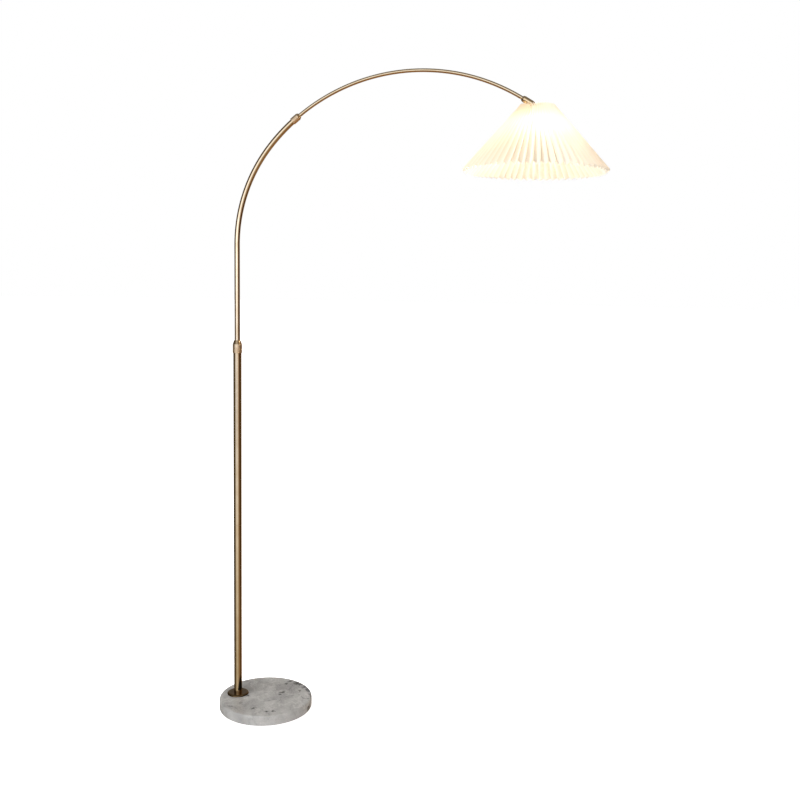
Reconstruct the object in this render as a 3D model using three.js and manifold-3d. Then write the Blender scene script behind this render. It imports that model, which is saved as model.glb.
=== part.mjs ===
// Arc floor lamp: marble base, telescoping brass pole, two-part arched arm and a pleated shade.
// Millimetres, +Z up. The origin is the middle of the base's underside and the arm reaches along +X.
import * as THREE from 'three';
import { mergeVertices } from 'three/addons/utils/BufferGeometryUtils.js';
import Module from 'manifold-3d';

const wasm = await Module();
wasm.setup();

// ---- Driving dimensions ----
const GAP = 0.3;

const BASE_RADIUS = 140;
const BASE_TOP = 33;
const BASE_EDGE_RADIUS = 4;
const PAD_RADIUS = 132;
const PAD_HEIGHT = 2.2;
const POLE_OFFSET = 89;

const ROD_RADIUS = 5;
const ROD_BORE = 3.2;
const RECESS_RADIUS = 18;
const RECESS_DEPTH = 14;
const WASHER_HEIGHT = 2;
const NUT_HEIGHT = 6;
const NUT_RADIUS = 9.8;

const FLANGE_RADIUS = 32.5;
const FLANGE_HEIGHT = 5;

const POLE_RADIUS = 12;
const POLE_BORE = 10.8;
const POLE_SEAM = 565;
const POLE_TOP = 1091.7;
const OUTLET_HEIGHT = 120;
const OUTLET_RADIUS = 5;

const SHANK_RADIUS = 8;
const SHANK_BORE = 7;
const SHANK_BOTTOM = 1033;
const SHANK_TOP = 1400;
const LOWER_BEND = 440;
const BEND_CHANGE = THREE.MathUtils.degToRad(40);

const TIP_RADIUS = 5;
const TIP_BORE = 4;
const UPPER_BEND = 553;
const MOUTH_ANGLE = THREE.MathUtils.degToRad(50.6);
const INSERTED_ANGLE = THREE.MathUtils.degToRad(4.6);
const ARM_END_ANGLE = THREE.MathUtils.degToRad(121);

const SLEEVE_RADIUS = 8.8;
const SLEEVE_LENGTH = 30;
const TUBE_IN_SLEEVE = 14;

const SHADE_AXIS = 851.4;
const SHADE_TOP = 1783;
const SHADE_RIM = 1611.5;
const SHADE_TOP_RADIUS = 47.5;
const SHADE_RIM_RADIUS = 200.5;
const PLEATS = 64;
const PLEAT_WIDTH = 15.5;
const SHADE_WALL = 1.1;
const SHADE_SIDES = 64;

const WIRE_RADIUS = 1.4;
const SPOKES = 3;
const RIBS = 4;
const MID_RING_SHARE = 0.46;

const BULB_RADIUS = 29.5;
const BULB_BOTTOM = 1641;

// ---- Materials ----
const finish = (color, roughness, metalness) => ({ color, roughness, metalness });
const BRASS = finish(0xb79a6a, 0.3, 1);
const DARK_BRASS = finish(0x6d5638, 0.25, 1);
const KNURLED_BRASS = finish(0xc8a27c, 0.5, 1);
const STEEL = finish(0x9a9a98, 0.35, 1);
const MARBLE = finish(0xa8a49f, 0.3, 0);
const FELT = finish(0x3b3a38, 0.95, 0);
const BLACK_PLASTIC = finish(0x1d1c1a, 0.5, 0);
const WHITE_PLASTIC = finish(0xe8e4da, 0.5, 0);
const CERAMIC = finish(0xf0ede6, 0.35, 0);
const WHITE_PAINT = finish(0xf2efe8, 0.45, 0.2);
const SHADE_CLOTH = finish(0xfaf0dc, 0.85, 0);
const FROSTED_GLASS = finish(0xfff6e6, 0.35, 0);
const GLOWING = finish(0xffd9a0, 0.6, 0);

// ---- Geometry helpers ----
const xy = (x, y) => new THREE.Vector2(x, y);

/** A solid turned about Z from [radius, height] points, listed counter-clockwise. */
function turned(points, segments = 32) {
  const profile = points.map(([radius, height]) => xy(radius, height));
  const onAxis = profile[0].x === 0;
  if (!onAxis) {
    profile.push(profile[0].clone());
  }
  return new THREE.LatheGeometry(profile, segments).rotateX(Math.PI / 2);
}

/** A plain tube or ring about Z. */
function ring(inner, outer, bottom, top, segments = 32) {
  return turned([[inner, bottom], [outer, bottom], [outer, top], [inner, top]], segments);
}

/** A round rod about Z. */
function disc(radius, bottom, top, segments = 24) {
  return new THREE.CylinderGeometry(radius, radius, top - bottom, segments)
    .rotateX(Math.PI / 2)
    .translate(0, 0, (bottom + top) / 2);
}

/** A round rod between two points. */
function rodBetween(start, end, radius, segments = 8) {
  const along = new THREE.Vector3().subVectors(end, start);
  const turn = new THREE.Quaternion().setFromUnitVectors(
    new THREE.Vector3(0, 1, 0),
    along.clone().normalize(),
  );
  const middle = new THREE.Vector3().addVectors(start, end).multiplyScalar(0.5);
  return new THREE.CylinderGeometry(radius, radius, along.length(), segments)
    .applyQuaternion(turn)
    .translate(middle.x, middle.y, middle.z);
}

/** A block from its size and its middle. */
function block(size, middle) {
  return new THREE.BoxGeometry(...size).translate(...middle);
}

function toSolid(geometry) {
  const bare = geometry.clone();
  bare.deleteAttribute('normal');
  bare.deleteAttribute('uv');
  const merged = mergeVertices(bare, 1e-4);
  return new wasm.Manifold(
    new wasm.Mesh({
      numProp: 3,
      vertProperties: new Float32Array(merged.attributes.position.array),
      triVerts: new Uint32Array(merged.index.array),
    }),
  );
}

function toGeometry(solid) {
  const mesh = solid.getMesh();
  const geometry = new THREE.BufferGeometry();
  geometry.setAttribute('position', new THREE.BufferAttribute(mesh.vertProperties, 3));
  geometry.setIndex(new THREE.BufferAttribute(mesh.triVerts, 1));
  return geometry;
}

/** Joins the first list of geometries and cuts the second list away from them. */
function shaped(joined, cut = []) {
  const whole = joined.map(toSolid).reduce((sum, next) => sum.add(next));
  return toGeometry(cut.map(toSolid).reduce((rest, next) => rest.subtract(next), whole));
}

// ---- The arch: the shank's top, then two bends that share a tangent ----
const bendChange = {
  x: LOWER_BEND * (1 - Math.cos(BEND_CHANGE)),
  z: SHANK_TOP + LOWER_BEND * Math.sin(BEND_CHANGE),
};

/** The arch's centreline where its direction has turned by angle from the vertical. */
function archPoint(angle) {
  if (angle <= BEND_CHANGE) {
    const x = LOWER_BEND * (1 - Math.cos(angle));
    return new THREE.Vector3(x, 0, SHANK_TOP + LOWER_BEND * Math.sin(angle));
  }
  const x = bendChange.x + UPPER_BEND * (Math.cos(BEND_CHANGE) - Math.cos(angle));
  const z = bendChange.z + UPPER_BEND * (Math.sin(angle) - Math.sin(BEND_CHANGE));
  return new THREE.Vector3(x, 0, z);
}

const archDirection = (angle) => new THREE.Vector3(Math.sin(angle), 0, Math.cos(angle));

/** Stations along the arch between two angles. */
function archStations(from, to, steps) {
  return Array.from({ length: steps + 1 }, (_, step) => {
    const angle = from + ((to - from) * step) / steps;
    return { point: archPoint(angle), direction: archDirection(angle) };
  });
}

/** A path through stations, so that a straight run takes one step and a bend takes several. */
class StationPath extends THREE.Curve {
  constructor(stations) {
    super();
    this.stations = stations;
  }

  at(share) {
    return this.stations[Math.round(share * (this.stations.length - 1))];
  }

  getPointAt(share) {
    return this.at(share).point.clone();
  }

  getTangentAt(share) {
    return this.at(share).direction.clone();
  }
}

/** A round tube of constant wall that follows the stations. */
function bentTube(stations, outer, inner) {
  const section = new THREE.Shape();
  section.absarc(0, 0, outer, 0, Math.PI * 2, false);
  const bore = new THREE.Path();
  bore.absarc(0, 0, inner, 0, Math.PI * 2, true);
  section.holes.push(bore);
  return new THREE.ExtrudeGeometry(section, {
    steps: stations.length - 1,
    extrudePath: new StationPath(stations),
    curveSegments: 8,
  });
}

// ---- The scene graph: everything but the base stands on the pole's axis ----
const group = new THREE.Group();
const lamp = new THREE.Group();
lamp.position.x = -POLE_OFFSET;
group.add(lamp);

/** A group at a place on the arch, with +Z along the arch there. */
function archGroup(angle) {
  const frame = new THREE.Group();
  frame.position.copy(archPoint(angle));
  frame.rotation.y = angle;
  lamp.add(frame);
  return frame;
}

function addPiece(parent, name, geometry, material) {
  const mesh = new THREE.Mesh(geometry, new THREE.MeshStandardMaterial(material));
  mesh.name = name;
  parent.add(mesh);
}

// ---- Base ----
const marbleBottom = PAD_HEIGHT + GAP;
const recessTop = marbleBottom + RECESS_DEPTH;

function marbleBase() {
  const corner = (angle, up) => {
    const middle = up ? BASE_TOP - BASE_EDGE_RADIUS : marbleBottom + BASE_EDGE_RADIUS / 2;
    const radius = up ? BASE_EDGE_RADIUS : BASE_EDGE_RADIUS / 2;
    return [BASE_RADIUS - radius + radius * Math.cos(angle), middle + radius * Math.sin(angle)];
  };
  const quarter = Math.PI / 2;
  const outline = [
    [0, marbleBottom],
    corner(-quarter, false),
    corner(-quarter / 2, false),
    corner(0, false),
    corner(0, true),
    corner(quarter / 3, true),
    corner((2 * quarter) / 3, true),
    corner(quarter, true),
    [0, BASE_TOP],
  ];
  const hole = disc(ROD_RADIUS + GAP, 0, BASE_TOP + 1).translate(-POLE_OFFSET, 0, 0);
  const recess = disc(RECESS_RADIUS, 0, recessTop, 32).translate(-POLE_OFFSET, 0, 0);
  return shaped([turned(outline, 72)], [hole, recess]);
}

function basePad() {
  const access = disc(RECESS_RADIUS, -1, PAD_HEIGHT + 1, 32).translate(-POLE_OFFSET, 0, 0);
  return shaped([disc(PAD_RADIUS, 0, PAD_HEIGHT, 72)], [access]);
}

addPiece(group, 'marble_base', marbleBase(), MARBLE);
addPiece(group, 'base_pad', basePad(), FELT);

// ---- Tie rod, its washer and nut under the base ----
const washerBottom = recessTop - GAP - WASHER_HEIGHT;
const nutTop = washerBottom - GAP;
const nutBottom = nutTop - NUT_HEIGHT;
const flangeTop = BASE_TOP + GAP + FLANGE_HEIGHT;
const poleBottom = flangeTop + GAP;
const rodTop = poleBottom + 22;
const rodHole = ROD_RADIUS + GAP;

addPiece(lamp, 'tie_rod', ring(ROD_BORE, ROD_RADIUS, nutBottom - 2, rodTop, 20), STEEL);
addPiece(lamp, 'base_washer', ring(rodHole, 15, washerBottom, recessTop - GAP, 24), STEEL);

function hexNut(radius, hole, bottom, top) {
  const hex = new THREE.CylinderGeometry(radius, radius, top - bottom, 6)
    .rotateX(Math.PI / 2)
    .translate(0, 0, (bottom + top) / 2);
  return shaped([hex], [disc(hole, bottom - 1, top + 1)]);
}

addPiece(lamp, 'base_nut', hexNut(NUT_RADIUS, rodHole, nutBottom, nutTop), STEEL);

// ---- Pole foot ----
function footFlange() {
  const bottom = BASE_TOP + GAP;
  return turned(
    [
      [rodHole, bottom],
      [FLANGE_RADIUS, bottom],
      [FLANGE_RADIUS, bottom + FLANGE_HEIGHT * 0.5],
      [FLANGE_RADIUS - 1.2, bottom + FLANGE_HEIGHT * 0.8],
      [FLANGE_RADIUS - 3.5, flangeTop],
      [rodHole, flangeTop],
    ],
    48,
  );
}

function footPlug() {
  const outer = POLE_BORE - GAP;
  const ledge = rodTop + GAP;
  return turned(
    [[rodHole, poleBottom], [outer, poleBottom], [outer, ledge + 8], [4, ledge + 8], [4, ledge], [rodHole, ledge]],
    24,
  );
}

addPiece(lamp, 'foot_flange', footFlange(), DARK_BRASS);
addPiece(lamp, 'foot_plug', footPlug(), STEEL);

// ---- Pole: two tubes screwed together, and the cord's outlet at the back ----
const seamHalf = GAP / 2;

function lowerPole() {
  const tube = ring(POLE_BORE, POLE_RADIUS, poleBottom, POLE_SEAM - seamHalf, 36);
  const outlet = rodBetween(
    new THREE.Vector3(0, 0, OUTLET_HEIGHT),
    new THREE.Vector3(0, POLE_RADIUS + 5, OUTLET_HEIGHT),
    OUTLET_RADIUS,
    20,
  );
  return shaped([tube], [outlet]);
}

function cordGrommet() {
  const along = (start, end, radius) =>
    rodBetween(new THREE.Vector3(0, start, 0), new THREE.Vector3(0, end, 0), radius, 20);
  const lip = shaped([along(6, POLE_RADIUS + 2.4, 7)], [disc(POLE_RADIUS + GAP, -12, 12, 36)]);
  const neck = along(POLE_BORE - 1, POLE_RADIUS + 1.5, OUTLET_RADIUS - GAP);
  const bore = along(0, POLE_RADIUS + 5, ROD_BORE);
  return shaped([lip, neck], [bore]).translate(0, 0, OUTLET_HEIGHT);
}

addPiece(lamp, 'lower_pole', lowerPole(), BRASS);
addPiece(lamp, 'cord_grommet', cordGrommet(), BLACK_PLASTIC);
addPiece(lamp, 'pole_coupling', ring(6, POLE_BORE - GAP, POLE_SEAM - 40, POLE_SEAM + 40, 24), STEEL);
addPiece(lamp, 'upper_pole', ring(POLE_BORE, POLE_RADIUS, POLE_SEAM + seamHalf, POLE_TOP, 36), BRASS);

// ---- Pole lock: threaded mouth bush, split collet and lock nut ----
const mouthHole = SHANK_RADIUS + GAP + 0.1;
const shoulderTop = POLE_TOP + GAP + 2;
const neckTop = shoulderTop + 12;
const poleNutBottom = 1084.5;
const poleNutBodyTop = poleNutBottom + 27;
const poleNutTop = poleNutBodyTop + 10;

function poleMouthBush() {
  const neck = POLE_BORE - GAP;
  return turned([
    [mouthHole, POLE_TOP - 28],
    [neck, POLE_TOP - 28],
    [neck, POLE_TOP + GAP],
    [POLE_RADIUS, POLE_TOP + GAP],
    [POLE_RADIUS, shoulderTop],
    [neck, shoulderTop],
    [neck, neckTop],
    [mouthHole, neckTop],
  ]);
}

/** A tapered ring with one slit, which its lock nut squeezes onto a tube. */
function splitCollet(hole, outer, bottom, height) {
  const cone = turned(
    [
      [hole, bottom],
      [outer, bottom],
      [outer, bottom + height * 0.45],
      [outer - 0.8, bottom + height],
      [hole, bottom + height],
    ],
    24,
  );
  const slit = block([outer + 2, 1.2, height + 2], [outer / 2 + 1, 0, bottom + height / 2]);
  return shaped([cone], [slit]);
}

function poleLockNut() {
  const grip = 13.6;
  const threadBore = POLE_BORE + 0.1;
  return turned(
    [
      [POLE_RADIUS + 0.4, poleNutBottom],
      [grip - 0.6, poleNutBottom],
      [grip, poleNutBottom + 0.6],
      [grip, poleNutBodyTop - 0.6],
      [grip - 0.6, poleNutBodyTop],
      [9.6, poleNutTop - 0.6],
      [9.2, poleNutTop],
      [mouthHole, poleNutTop],
      [mouthHole, neckTop + 9.5],
      [threadBore - 0.8, neckTop + 9],
      [threadBore, neckTop + 4.5],
      [threadBore, shoulderTop + GAP],
      [POLE_RADIUS + 0.4, shoulderTop + GAP],
    ],
    32,
  );
}

addPiece(lamp, 'pole_mouth_bush', poleMouthBush(), STEEL);
const poleCollet = splitCollet(SHANK_RADIUS + GAP, POLE_BORE - 0.35, neckTop + GAP, 8);
addPiece(lamp, 'pole_collet', poleCollet, WHITE_PLASTIC);
addPiece(lamp, 'pole_lock_nut', poleLockNut(), KNURLED_BRASS);

// ---- Lower arm: a straight shank in the pole, then the bend up to the arm's mouth ----
function shankBush() {
  const outer = POLE_BORE - GAP;
  const hole = SHANK_RADIUS + GAP;
  return turned([
    [5.5, SHANK_BOTTOM - 5],
    [outer, SHANK_BOTTOM - 5],
    [outer, SHANK_BOTTOM + 25],
    [hole, SHANK_BOTTOM + 25],
    [hole, SHANK_BOTTOM - GAP],
    [5.5, SHANK_BOTTOM - GAP],
  ]);
}

function lowerArm() {
  const foot = { point: new THREE.Vector3(0, 0, SHANK_BOTTOM), direction: archDirection(0) };
  const lowerBend = archStations(0, BEND_CHANGE, 14);
  const upperBend = archStations(BEND_CHANGE, MOUTH_ANGLE, 7).slice(1);
  return bentTube([foot, ...lowerBend, ...upperBend], SHANK_RADIUS, SHANK_BORE);
}

addPiece(lamp, 'shank_bush', shankBush(), BLACK_PLASTIC);
addPiece(lamp, 'lower_arm', lowerArm(), BRASS);

// ---- Arm lock at the lower arm's mouth ----
const armMouth = archGroup(MOUTH_ANGLE);
const tipHole = TIP_RADIUS + 0.5;

function armMouthBush() {
  const thread = 8.9;
  return turned(
    [
      [SHANK_RADIUS + 0.4, -12],
      [thread, -12],
      [thread, 2.3],
      [tipHole, 2.3],
      [tipHole, GAP],
      [SHANK_RADIUS + 0.4, GAP],
    ],
    28,
  );
}

function armLockNut() {
  const grip = 9.9;
  const threadBore = 9.25;
  const topHole = TIP_RADIUS + 0.9;
  return turned(
    [
      [threadBore, -14],
      [grip - 0.3, -14],
      [grip, -13.7],
      [grip, 7.5],
      [grip - 0.4, 8],
      [7, 12.5],
      [6.6, 13],
      [topHole, 13],
      [topHole, 7.8],
      [threadBore - 0.8, 7.5],
      [threadBore, 5],
    ],
    32,
  );
}

addPiece(armMouth, 'arm_mouth_bush', armMouthBush(), STEEL);
addPiece(armMouth, 'arm_collet', splitCollet(tipHole, 8.85, 2.6, 4.5), WHITE_PLASTIC);
addPiece(armMouth, 'arm_lock_nut', armLockNut(), KNURLED_BRASS);

// ---- Upper arm: slides along its own bend inside the lower arm ----
const tubeStart = MOUTH_ANGLE - INSERTED_ANGLE;
const tubeEnd = ARM_END_ANGLE + TUBE_IN_SLEEVE / UPPER_BEND;

addPiece(
  lamp,
  'upper_arm',
  bentTube(archStations(tubeStart, tubeEnd, 28), TIP_RADIUS, TIP_BORE),
  BRASS,
);

function armGuidePlug() {
  const neck = TIP_BORE - GAP - 0.1;
  return turned(
    [[2.5, -8], [6.5, -8], [6.5, -GAP], [neck, -GAP], [neck, 9], [2.5, 9]],
    20,
  );
}

addPiece(archGroup(tubeStart), 'arm_guide_plug', armGuidePlug(), WHITE_PLASTIC);

// ---- Head sleeve and the knuckle's tongue ----
const sleeve = archGroup(ARM_END_ANGLE);
const armEnd = archPoint(ARM_END_ANGLE);
const knuckleReach = (SHADE_AXIS - armEnd.x) / Math.sin(ARM_END_ANGLE);
const knuckleHeight = armEnd.z + knuckleReach * Math.cos(ARM_END_ANGLE);
const TONGUE_HALF = 2.5;
const PIVOT_RADIUS = 2.2;
const screwAt = 7;

function headSleeve() {
  const hole = TIP_RADIUS + 0.4;
  const shell = turned([
    [hole, -2],
    [7, -2],
    [SLEEVE_RADIUS, 4],
    [SLEEVE_RADIUS, SLEEVE_LENGTH],
    [hole, SLEEVE_LENGTH],
  ]);
  const screwHole = rodBetween(
    new THREE.Vector3(0, 2, screwAt),
    new THREE.Vector3(0, 12, screwAt),
    2,
    12,
  );
  return shaped([shell], [screwHole]);
}

function sleeveScrew() {
  return rodBetween(
    new THREE.Vector3(0, TIP_RADIUS + 0.5, screwAt),
    new THREE.Vector3(0, SLEEVE_RADIUS + 0.2, screwAt),
    1.6,
    12,
  );
}

/** A flat tab, round at both ends, in the plane of the arch. */
function tab(length, halfWidth, halfThickness) {
  const outline = new THREE.Shape();
  outline.absarc(0, length, halfWidth, 0, Math.PI, false);
  outline.lineTo(-halfWidth, 0);
  outline.lineTo(halfWidth, 0);
  return new THREE.ExtrudeGeometry(outline, {
    depth: halfThickness * 2,
    bevelEnabled: false,
    curveSegments: 12,
  })
    .translate(0, 0, -halfThickness)
    .rotateX(Math.PI / 2);
}

const pivotHole = (half) =>
  rodBetween(new THREE.Vector3(0, -half, 0), new THREE.Vector3(0, half, 0), PIVOT_RADIUS + GAP, 16);

function knuckleTongue() {
  const neck = disc(TIP_RADIUS, TUBE_IN_SLEEVE + 1, SLEEVE_LENGTH + 1, 20);
  const shoulder = disc(SLEEVE_RADIUS - 0.8, SLEEVE_LENGTH + GAP, SLEEVE_LENGTH + 3.5, 28);
  const tabStart = SLEEVE_LENGTH + 2;
  const tongue = tab(knuckleReach - tabStart, 5.5, TONGUE_HALF).translate(0, 0, tabStart);
  const hole = pivotHole(9).translate(0, 0, knuckleReach);
  return shaped([neck, shoulder, tongue], [hole]);
}

addPiece(sleeve, 'head_sleeve', headSleeve(), BRASS);
addPiece(sleeve, 'sleeve_screw', sleeveScrew(), STEEL);
addPiece(sleeve, 'knuckle_tongue', knuckleTongue(), BRASS);

// ---- Head: everything that tilts with the shade, about the knuckle's pin ----
const head = new THREE.Group();
head.position.x = SHADE_AXIS;
lamp.add(head);

const FORK_DROP = 20;
const forkBottom = knuckleHeight - FORK_DROP;
const earInner = TONGUE_HALF + 0.5;
const EAR_THICKNESS = 3;

function knuckleFork() {
  const ear = (side) =>
    tab(FORK_DROP - 2, 5.5, EAR_THICKNESS / 2)
      .translate(0, side * (earInner + EAR_THICKNESS / 2), forkBottom + 2);
  const foot = disc(8.5, forkBottom, forkBottom + 4, 28);
  const stub = disc(5, forkBottom - 7, forkBottom + 1, 20);
  const wireWay = disc(2.8, forkBottom - 9, forkBottom + 6, 16);
  const hole = pivotHole(12).translate(0, 0, knuckleHeight);
  return shaped([ear(1), ear(-1), foot, stub], [wireWay, hole]);
}

function pivotScrew() {
  const side = earInner + EAR_THICKNESS + GAP;
  const along = (start, end, radius, segments) =>
    rodBetween(
      new THREE.Vector3(0, start, knuckleHeight),
      new THREE.Vector3(0, end, knuckleHeight),
      radius,
      segments,
    );
  return shaped([along(-side - 2.6, -side, 4.4, 20), along(-side - 1, side + 5, PIVOT_RADIUS, 16)]);
}

function pivotNut() {
  const side = earInner + EAR_THICKNESS + GAP;
  return hexNut(4.4, PIVOT_RADIUS + GAP, side, side + 3.4)
    .rotateX(-Math.PI / 2)
    .translate(0, 0, knuckleHeight);
}

addPiece(head, 'knuckle_fork', knuckleFork(), BRASS);
addPiece(head, 'pivot_screw', pivotScrew(), STEEL);
addPiece(head, 'pivot_nut', pivotNut(), STEEL);

// ---- Lampholder, measured down from its cap ----
const capTop = forkBottom - GAP;
const capBottom = capTop - 19;
const skirtBottom = capBottom - 34;
const SKIRT_RADIUS = 19.7;
const CORE_RADIUS = 18;
const SOCKET_RADIUS = 14;
const WALL = 1.2;

function holderCap() {
  const outer = 20.2;
  const stubHole = 5 + GAP;
  return turned([
    [stubHole, capTop - WALL],
    [9, capTop - WALL],
    [outer - WALL - 3, capTop - 8],
    [outer - WALL, capTop - 13],
    [outer - WALL, capBottom],
    [outer, capBottom],
    [outer, capTop - 12],
    [outer - 3, capTop - 6],
    [9.6, capTop],
    [stubHole, capTop],
  ]);
}

function holderSkirt() {
  const inner = CORE_RADIUS + GAP;
  const top = capBottom - GAP;
  return turned([
    [inner, skirtBottom],
    [SKIRT_RADIUS, skirtBottom],
    [SKIRT_RADIUS, top - 6],
    [24, top - 6],
    [24, top - 4],
    [SKIRT_RADIUS, top - 4],
    [SKIRT_RADIUS, top],
    [inner, top],
  ]);
}

const coreTop = capBottom + 2;
const socketTop = coreTop - 6;

function holderCore() {
  const bottom = skirtBottom + 1;
  const stemHole = 1.9;
  return turned([
    [SOCKET_RADIUS, bottom],
    [CORE_RADIUS, bottom],
    [CORE_RADIUS, coreTop],
    [stemHole, coreTop],
    [stemHole, socketTop],
    [SOCKET_RADIUS, socketTop],
  ]);
}

const contactBottom = socketTop - GAP - 1;

function holderContact() {
  return turned(
    [
      [0, contactBottom],
      [3.6, contactBottom],
      [3.6, socketTop - GAP],
      [1.5, socketTop - GAP],
      [1.5, coreTop + 3],
      [0, coreTop + 3],
    ],
    16,
  );
}

const threadShell = ring(13.2, 13.7, skirtBottom + 6, socketTop - 3, 28);
const shadeRingTop = capBottom - GAP - 6 - 3.4;

function shadeRing() {
  const hole = SKIRT_RADIUS + GAP;
  return turned([
    [hole, shadeRingTop - 7],
    [24, shadeRingTop - 7],
    [24, shadeRingTop - 2.5],
    [27, shadeRingTop - 2],
    [27, shadeRingTop],
    [hole, shadeRingTop],
  ]);
}

addPiece(head, 'holder_cap', holderCap(), BRASS);
addPiece(head, 'holder_skirt', holderSkirt(), BRASS);
addPiece(head, 'holder_core', holderCore(), CERAMIC);
addPiece(head, 'holder_contact', holderContact(), STEEL);
addPiece(head, 'holder_shell', threadShell, DARK_BRASS);
addPiece(head, 'shade_ring', shadeRing(), BRASS);

// ---- Bulb ----
const bulbTipTop = contactBottom - GAP;
const bulbCapTop = bulbTipTop - 4;
const bulbCapBottom = bulbCapTop - 24;
const BULB_CAP_RADIUS = 12.8;

/** The bulb's outline from the neck to the bottom, moved inward by inset. */
function bulbOutline(inset) {
  const middle = BULB_BOTTOM + BULB_RADIUS;
  const radius = BULB_RADIUS - inset;
  const roundFrom = -Math.PI / 2;
  const roundTo = Math.PI / 5;
  const points = Array.from({ length: 9 }, (_, step) => {
    const angle = roundFrom + ((roundTo - roundFrom) * step) / 8;
    return [step === 0 ? 0 : radius * Math.cos(angle), middle + radius * Math.sin(angle)];
  });
  points.push([BULB_CAP_RADIUS + 2.4 - inset, bulbCapBottom - 8]);
  points.push([BULB_CAP_RADIUS - 0.2 - inset, bulbCapBottom - 1]);
  return points;
}

addPiece(
  head,
  'bulb_glass',
  turned([...bulbOutline(0), ...bulbOutline(1).reverse()], 24),
  FROSTED_GLASS,
);
const capWall = ring(BULB_CAP_RADIUS - 0.6, BULB_CAP_RADIUS, bulbCapBottom, bulbCapTop, 28);
addPiece(head, 'bulb_cap', capWall, STEEL);

function bulbInsulator() {
  const bottom = bulbCapTop + GAP;
  return turned([[0, bottom], [11, bottom], [5, bulbTipTop - 1], [4, bulbTipTop], [0, bulbTipTop]], 24);
}

function bulbStem() {
  const top = bulbCapTop - 2;
  return turned(
    [
      [0, bulbCapBottom - 22],
      [3, bulbCapBottom - 22],
      [4.5, bulbCapBottom - 8],
      [9.5, bulbCapBottom - 2],
      [11.6, bulbCapBottom + 3],
      [11.6, top],
      [0, top],
    ],
    20,
  );
}

addPiece(head, 'bulb_insulator', bulbInsulator(), BLACK_PLASTIC);
addPiece(head, 'bulb_stem', bulbStem(), WHITE_PLASTIC);
addPiece(head, 'bulb_filament', disc(4.5, BULB_BOTTOM + 14, bulbCapBottom - 22 - GAP, 16), GLOWING);

// ---- Pleated shade: the plain cone that the pleats' outer folds lie on ----
const shadeSlope = Math.atan2(SHADE_RIM_RADIUS - SHADE_TOP_RADIUS, SHADE_TOP - SHADE_RIM);
const outward = { r: Math.cos(shadeSlope), z: Math.sin(shadeSlope) };

/** A point on the outer folds' cone, from 0 at the rim to 1 at the top, set back from it. */
function onShade(share, setBack) {
  const r = THREE.MathUtils.lerp(SHADE_RIM_RADIUS, SHADE_TOP_RADIUS, share);
  const z = THREE.MathUtils.lerp(SHADE_RIM, SHADE_TOP, share);
  return { r: r - setBack * outward.r, z: z - setBack * outward.z };
}

/** How far the inner folds lie behind the outer ones, so that every pleat keeps its width. */
function pleatDepth(share) {
  const halfPitch = (Math.PI * onShade(share, PLEAT_WIDTH / 2).r) / PLEATS;
  return Math.sqrt(PLEAT_WIDTH ** 2 - halfPitch ** 2);
}

/** The shade as a thin plain cone on the outer folds. */
function pleatedShade() {
  const corner = (share, setBack) => {
    const { r, z } = onShade(share, setBack);
    return [r, z];
  };
  const profile = [corner(0, SHADE_WALL), corner(0, 0), corner(1, 0), corner(1, SHADE_WALL)];
  return turned(profile, SHADE_SIDES);
}

addPiece(head, 'pleated_shade', pleatedShade(), SHADE_CLOTH);

// ---- Shade frame: gallery plate, spokes and top ring in one, and ribs that carry a mid ring ----
const galleryTop = shadeRingTop + GAP + 2.4;
const behindFolds = SHADE_WALL + WIRE_RADIUS + 0.6;
const topRing = onShade(0.97, pleatDepth(0.97) + behindFolds);
const midRing = onShade(MID_RING_SHARE, pleatDepth(MID_RING_SHARE) + behindFolds);

/** A place on a ring of the frame, at an angle about the shade's axis. */
function onRing({ r, z }, angle) {
  return new THREE.Vector3(r * Math.cos(angle), r * Math.sin(angle), z);
}

/** A ring of wire about the shade's axis. */
function wireRing({ r, z }, segments) {
  return new THREE.TorusGeometry(r, WIRE_RADIUS, 6, segments).translate(0, 0, z);
}

function shadeFrame() {
  const gallery = ring(SKIRT_RADIUS + 0.4, 26, shadeRingTop + GAP, galleryTop, 32);
  const spokeFoot = { r: 25, z: galleryTop - 1.2 };
  const spokes = Array.from({ length: SPOKES }, (_, spoke) => {
    const angle = ((spoke + 0.5) * Math.PI * 2) / SPOKES + Math.PI / 3;
    return rodBetween(onRing(spokeFoot, angle), onRing(topRing, angle), WIRE_RADIUS, 6);
  });
  return shaped([gallery, wireRing(topRing, 32), ...spokes]);
}

/** One rib down the shade's slope, just short of the rings at its ends. */
function shadeRib(rib) {
  const angle = ((rib + 0.5) * Math.PI * 2) / RIBS;
  const upper = onRing(topRing, angle);
  const lower = onRing(midRing, angle);
  const down = lower.clone().sub(upper).normalize();
  const short = WIRE_RADIUS + GAP + 0.1;
  return rodBetween(
    upper.addScaledVector(down, short),
    lower.addScaledVector(down, -short),
    WIRE_RADIUS,
  );
}

addPiece(head, 'shade_frame', shadeFrame(), WHITE_PAINT);
addPiece(head, 'shade_mid_ring', wireRing(midRing, 48), WHITE_PAINT);
for (let rib = 0; rib < RIBS; rib += 1) {
  addPiece(head, `shade_rib_${rib + 1}`, shadeRib(rib), WHITE_PAINT);
}

export default group;
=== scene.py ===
"""Arc floor lamp: the looks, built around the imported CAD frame. Metres, +Z up."""

import math
import random

import bpy
from mathutils import Matrix, Vector, noise


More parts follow.
